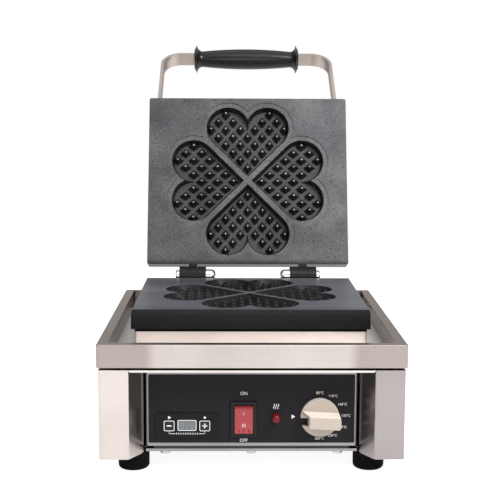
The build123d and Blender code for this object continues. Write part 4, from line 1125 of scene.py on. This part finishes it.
    def print_heat_sign(self) -> None:
        """Print rising wavy lines above the lamp."""
        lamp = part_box("lamp_lens")
        x = (lamp[0].x + lamp[1].x) / 2
        z = lamp[1].z + (self.heat_gap_mm + self.heat_height_mm / 2) * MM
        wave = added(bpy.ops.mesh.primitive_grid_add,
                     x_subdivisions=1, y_subdivisions=self.heat_steps, size=1)
        wave.scale = (self.frame_line_mm * MM, self.heat_height_mm * MM, 1)
        bpy.ops.object.transform_apply(scale=True)
        for vertex in wave.data.vertices:
            turn = vertex.co.y / (self.heat_height_mm * MM) * 2 * math.pi
            vertex.co.x += math.sin(turn) * self.heat_sway_mm * MM
        waves = self.copied(self.inked(wave), self.in_row(self.heat_lines, self.heat_pitch_mm * MM))
        self.printed(waves, "heat_sign_print", (x, self.panel_front(), z))

    def mark_keys(self) -> None:
        """Frame the two keys and print their signs, their captions and the scale that links them."""
        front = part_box("timer_bezel")[0].y
        for word in ("minus", "plus"):
            low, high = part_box(f"timer_{word}_button")
            centre = (low + high) / 2
            side = high.z - low.z - 2 * self.frame_inset_mm * MM
            body = f"{word}_button"
            self.outline(f"{word}_key_frame", (side, side), (centre.x, low.y, centre.z), body)
            strokes = [self.bar(self.glyph_mm * MM, self.glyph_line_mm * MM)]
            if word == "plus":
                strokes.append(self.bar(self.glyph_line_mm * MM, self.glyph_mm * MM))
            self.printed(strokes, f"{word}_key_sign", (centre.x, low.y, centre.z), body)
            caption = self.caption_mm * MM
            above = high.z + self.caption_gap_mm * MM
            shape = self.triangle(caption) if word == "minus" else self.bar(caption, caption)
            self.printed([shape], f"{word}_caption_print", (centre.x, front, above))
        self.print_scale(front)

    def print_scale(self, front: float) -> None:
        """Print the bracket between the keys with a plain row of ticks in its gap.

        Args:
            front: Depth of the printed face.
        """
        left, right = middle("timer_minus_button"), middle("timer_plus_button")
        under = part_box("timer_minus_button")[0].z + self.frame_inset_mm * MM
        line = self.bracket_line_mm * MM
        drop = self.bracket_drop_mm * MM
        reach = self.bracket_reach_mm * MM
        half = (right.x - left.x) / 2
        inner = half - reach / 2
        bars = self.copied(self.bar(line, drop), [(-half, drop / 2), (half, drop / 2)])
        bars += self.copied(self.bar(reach, line), [(-inner, 0), (inner, 0)])
        bars += self.copied(self.bar(line, self.scale_tick_mm * MM),
                            self.in_row(self.scale_ticks, self.scale_pitch_mm * MM))
        self.printed(bars, "timer_scale_print", (left.x + half, front, under - drop))

    def triangle(self, radius: float) -> Object:
        """Add a flat printed triangle in X and Y that points along X.

        Args:
            radius: Distance of its corners from its middle, before they are blunted.

        Returns:
            The triangle.
        """
        piece = added(bpy.ops.mesh.primitive_circle_add, vertices=3, radius=radius, fill_type="NGON")
        in_edit(piece, lambda: bpy.ops.mesh.bevel(
            affect="VERTICES", offset=radius * self.arrow_blunt, segments=self.arrow_steps))
        piece.rotation_euler = (0, 0, -math.pi / 2)
        bpy.ops.object.transform_apply(rotation=True)
        return self.inked(piece)

    def printed(self, pieces: list[Object], name: str, centre: Point, body: str = "base",
                finish: Finish = INK) -> Object:
        """Join flat prints and set them on an upright face.

        Args:
            pieces: Flat prints in X and Y.
            name: Name of the joined print.
            centre: Where their origin comes to lie.
            body: Body that it rides on.
            finish: Finish of the print.

        Returns:
            The print.
        """
        piece = self.joined(pieces)
        facing_front(piece, centre)
        return self.settle(piece, name, finish, body)

    def mark_display(self) -> None:
        """Frame the display's window and lay unlit seven-part figures in it."""
        low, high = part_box("timer_display")
        centre = (low + high) / 2
        inset = 2 * self.window_inset_mm * MM
        self.outline("display_frame_print", (high.x - low.x - inset, high.z - low.z - inset),
                     (centre.x, low.y, centre.z))
        width = self.digit_width_mm * MM
        half = self.digit_height_mm * MM / 2
        line = self.digit_line_mm * MM
        level = self.copied(self.bar(width - 2 * line, line), [(0, -half), (0, 0), (0, half)])
        upright = self.copied(self.bar(line, half - 2 * line), [
            (side * width / 2, rise * half / 2) for side in (-1, 1) for rise in (-1, 1)])
        figure = self.joined(level + upright)
        figures = self.copied(figure, self.in_row(self.digit_count, self.digit_pitch_mm * MM))
        self.printed(figures, "timer_display_figures", (centre.x, low.y, centre.z), finish=SEGMENT)

    def mark_rocker(self) -> None:
        """Print the stroke and the ring on the rocker's two faces and shade grooves at its lower end."""
        for name, letter, side in (("stroke", "I", 1), ("ring", "O", -1)):
            mark = self.words(f"rocker_{name}_print", letter, self.rocker_mark_mm, (0, 0), 0, "rocker")
            mark.data.transform(self.on_rocker(side * self.rocker_facet_mm * MM))
        groove = self.bar(self.groove_line_mm * MM, self.groove_mm * MM)
        row = self.copied(groove, self.in_row(self.grooves, self.groove_pitch_mm * MM))
        grooves = self.printed(row, "rocker_grip_grooves", (0, 0, 0), "rocker", GROOVE)
        grooves.data.transform(self.on_rocker(-self.groove_place_mm * MM))

    def on_rocker(self, rise: float) -> Matrix:
        """Return the move that lays an upright print on the rocker's face.

        Args:
            rise: Height over the rocker's pivot; its sign picks the face.

        Returns:
            Matrix for the print's mesh.
        """
        pivot = Vector(joint_of("rocker")["pos_m"])
        mesh = frame["nodes"]["power_rocker"].data
        fronts = (p for p in mesh.polygons if p.normal.y < self.front_lean)
        face = max((p for p in fronts if rise * (p.center.z - pivot.z) > 0), key=lambda p: p.area)
        corner = mesh.vertices[face.vertices[0]].co
        depth = corner.y - (pivot.z + rise - corner.z) * face.normal.z / face.normal.y
        lean = math.atan2(face.normal.z, -face.normal.y)
        return Matrix.Translation((pivot.x, depth, pivot.z + rise)) @ Matrix.Rotation(-lean, 4, "X")


@dataclass(frozen=True)
class SoftBox:
    """A square area light: where it hangs, its side in metres and its power in watts."""

    name: str
    place: Point
    side: float
    power: float


@dataclass
class Studio:
    """Pale floor, soft lights and the camera at the photo's angle."""

    camera_mm: Point = (-20.27, -1181.5, 351.6)
    yaw: float = math.radians(0.98)
    pitch: float = math.radians(7.5)
    roll: float = math.radians(0.26)
    focal_px: float = 1128.41
    image_px: float = 500.0
    sensor_mm: float = 36.0
    floor_m: float = 2.4
    backdrop: str = WHITE
    room: str = "#FFFAF7"
    room_strength: float = 0.5
    aim: Point = (0.0, 0.0, 0.15)
    clip_m: float = 50.0
    boxes: tuple[SoftBox, ...] = (
        SoftBox("key_box", (-0.9, -1.0, 1.2), 0.9, 6.0),
        SoftBox("sheen_box", (0.8, -0.9, 1.3), 0.5, 34.0),
        SoftBox("front_box", (0.0, -1.7, 0.5), 0.8, 5.0),
        SoftBox("high_box", (0.1, -0.8, 1.6), 0.8, 5.0),
        SoftBox("top_box", (0.0, 0.2, 1.8), 1.6, 8.0),
    )

    def build(self) -> None:
        """Set the stage."""
        self.lay_floor()
        self.light()
        self.aim_camera()
        bpy.context.scene.view_settings.view_transform = "Standard"

    def lay_floor(self) -> None:
        """Lay a pale floor under the feet."""
        floor = added(bpy.ops.mesh.primitive_plane_add, size=self.floor_m)
        floor.name = "studio_floor"
        floor.data.materials.append(PAPER.material())

    def light(self) -> None:
        """Hang soft boxes and fill the room with even light."""
        world = bpy.data.worlds.new("soft_room")
        world.use_nodes = True
        tree = world.node_tree
        room = add_node(tree, "Background",
                        values={"Color": linear(self.room), "Strength": self.room_strength})
        wall = add_node(tree, "Background", values={"Color": linear(self.backdrop), "Strength": 1.0})
        seen = add_node(tree, "LightPath").outputs["Is Camera Ray"]
        both = add_node(tree, "MixShader", links={0: seen, 1: room.outputs[0], 2: wall.outputs[0]})
        tree.links.new(both.outputs[0], tree.nodes["World Output"].inputs["Surface"])
        bpy.context.scene.world = world
        for box in self.boxes:
            self.hang(box)

    def hang(self, box: SoftBox) -> None:
        """Hang one soft box so that it looks at the object.

        Args:
            box: Soft box to hang.
        """
        data = bpy.data.lights.new(box.name, "AREA")
        data.size = box.side
        data.energy = box.power
        lamp = bpy.data.objects.new(box.name, data)
        bpy.context.scene.collection.objects.link(lamp)
        turn = (Vector(self.aim) - Vector(box.place)).to_track_quat("-Z", "Y")
        lamp.matrix_world = Matrix.Translation(box.place) @ turn.to_matrix().to_4x4()

    def aim_camera(self) -> None:
        """Place the camera by its fitted position, turn and focal length."""
        data = bpy.data.cameras.new("photo_camera")
        data.sensor_width = self.sensor_mm
        data.lens = self.focal_px * self.sensor_mm / self.image_px
        data.clip_end = self.clip_m
        camera = bpy.data.objects.new("photo_camera", data)
        bpy.context.scene.collection.objects.link(camera)
        level = math.cos(self.pitch)
        ahead = Vector((math.sin(self.yaw) * level, math.cos(self.yaw) * level, -math.sin(self.pitch)))
        right = Vector((math.cos(self.yaw), -math.sin(self.yaw), 0))
        over = right.cross(ahead)
        right_rolled = right * math.cos(self.roll) + over * math.sin(self.roll)
        over_rolled = over * math.cos(self.roll) - right * math.sin(self.roll)
        turn = Matrix((right_rolled, over_rolled, -ahead)).transposed().to_4x4()
        camera.matrix_world = Matrix.Translation(Vector(self.camera_mm) * MM) @ turn
        bpy.context.scene.camera = camera


def main() -> None:
    """Build every sub-assembly in order, report its pieces and set the studio."""
    logging.basicConfig(level=logging.INFO, format="%(name)s: %(message)s")
    for assembly in (Casing(), Tray(), Plates(), LidTop(), Controls()):
        for piece in assembly.build():
            LOG.info("%s: %s", type(assembly).__name__, piece)
    Studio().build()


if __name__ == "__main__":
    main()
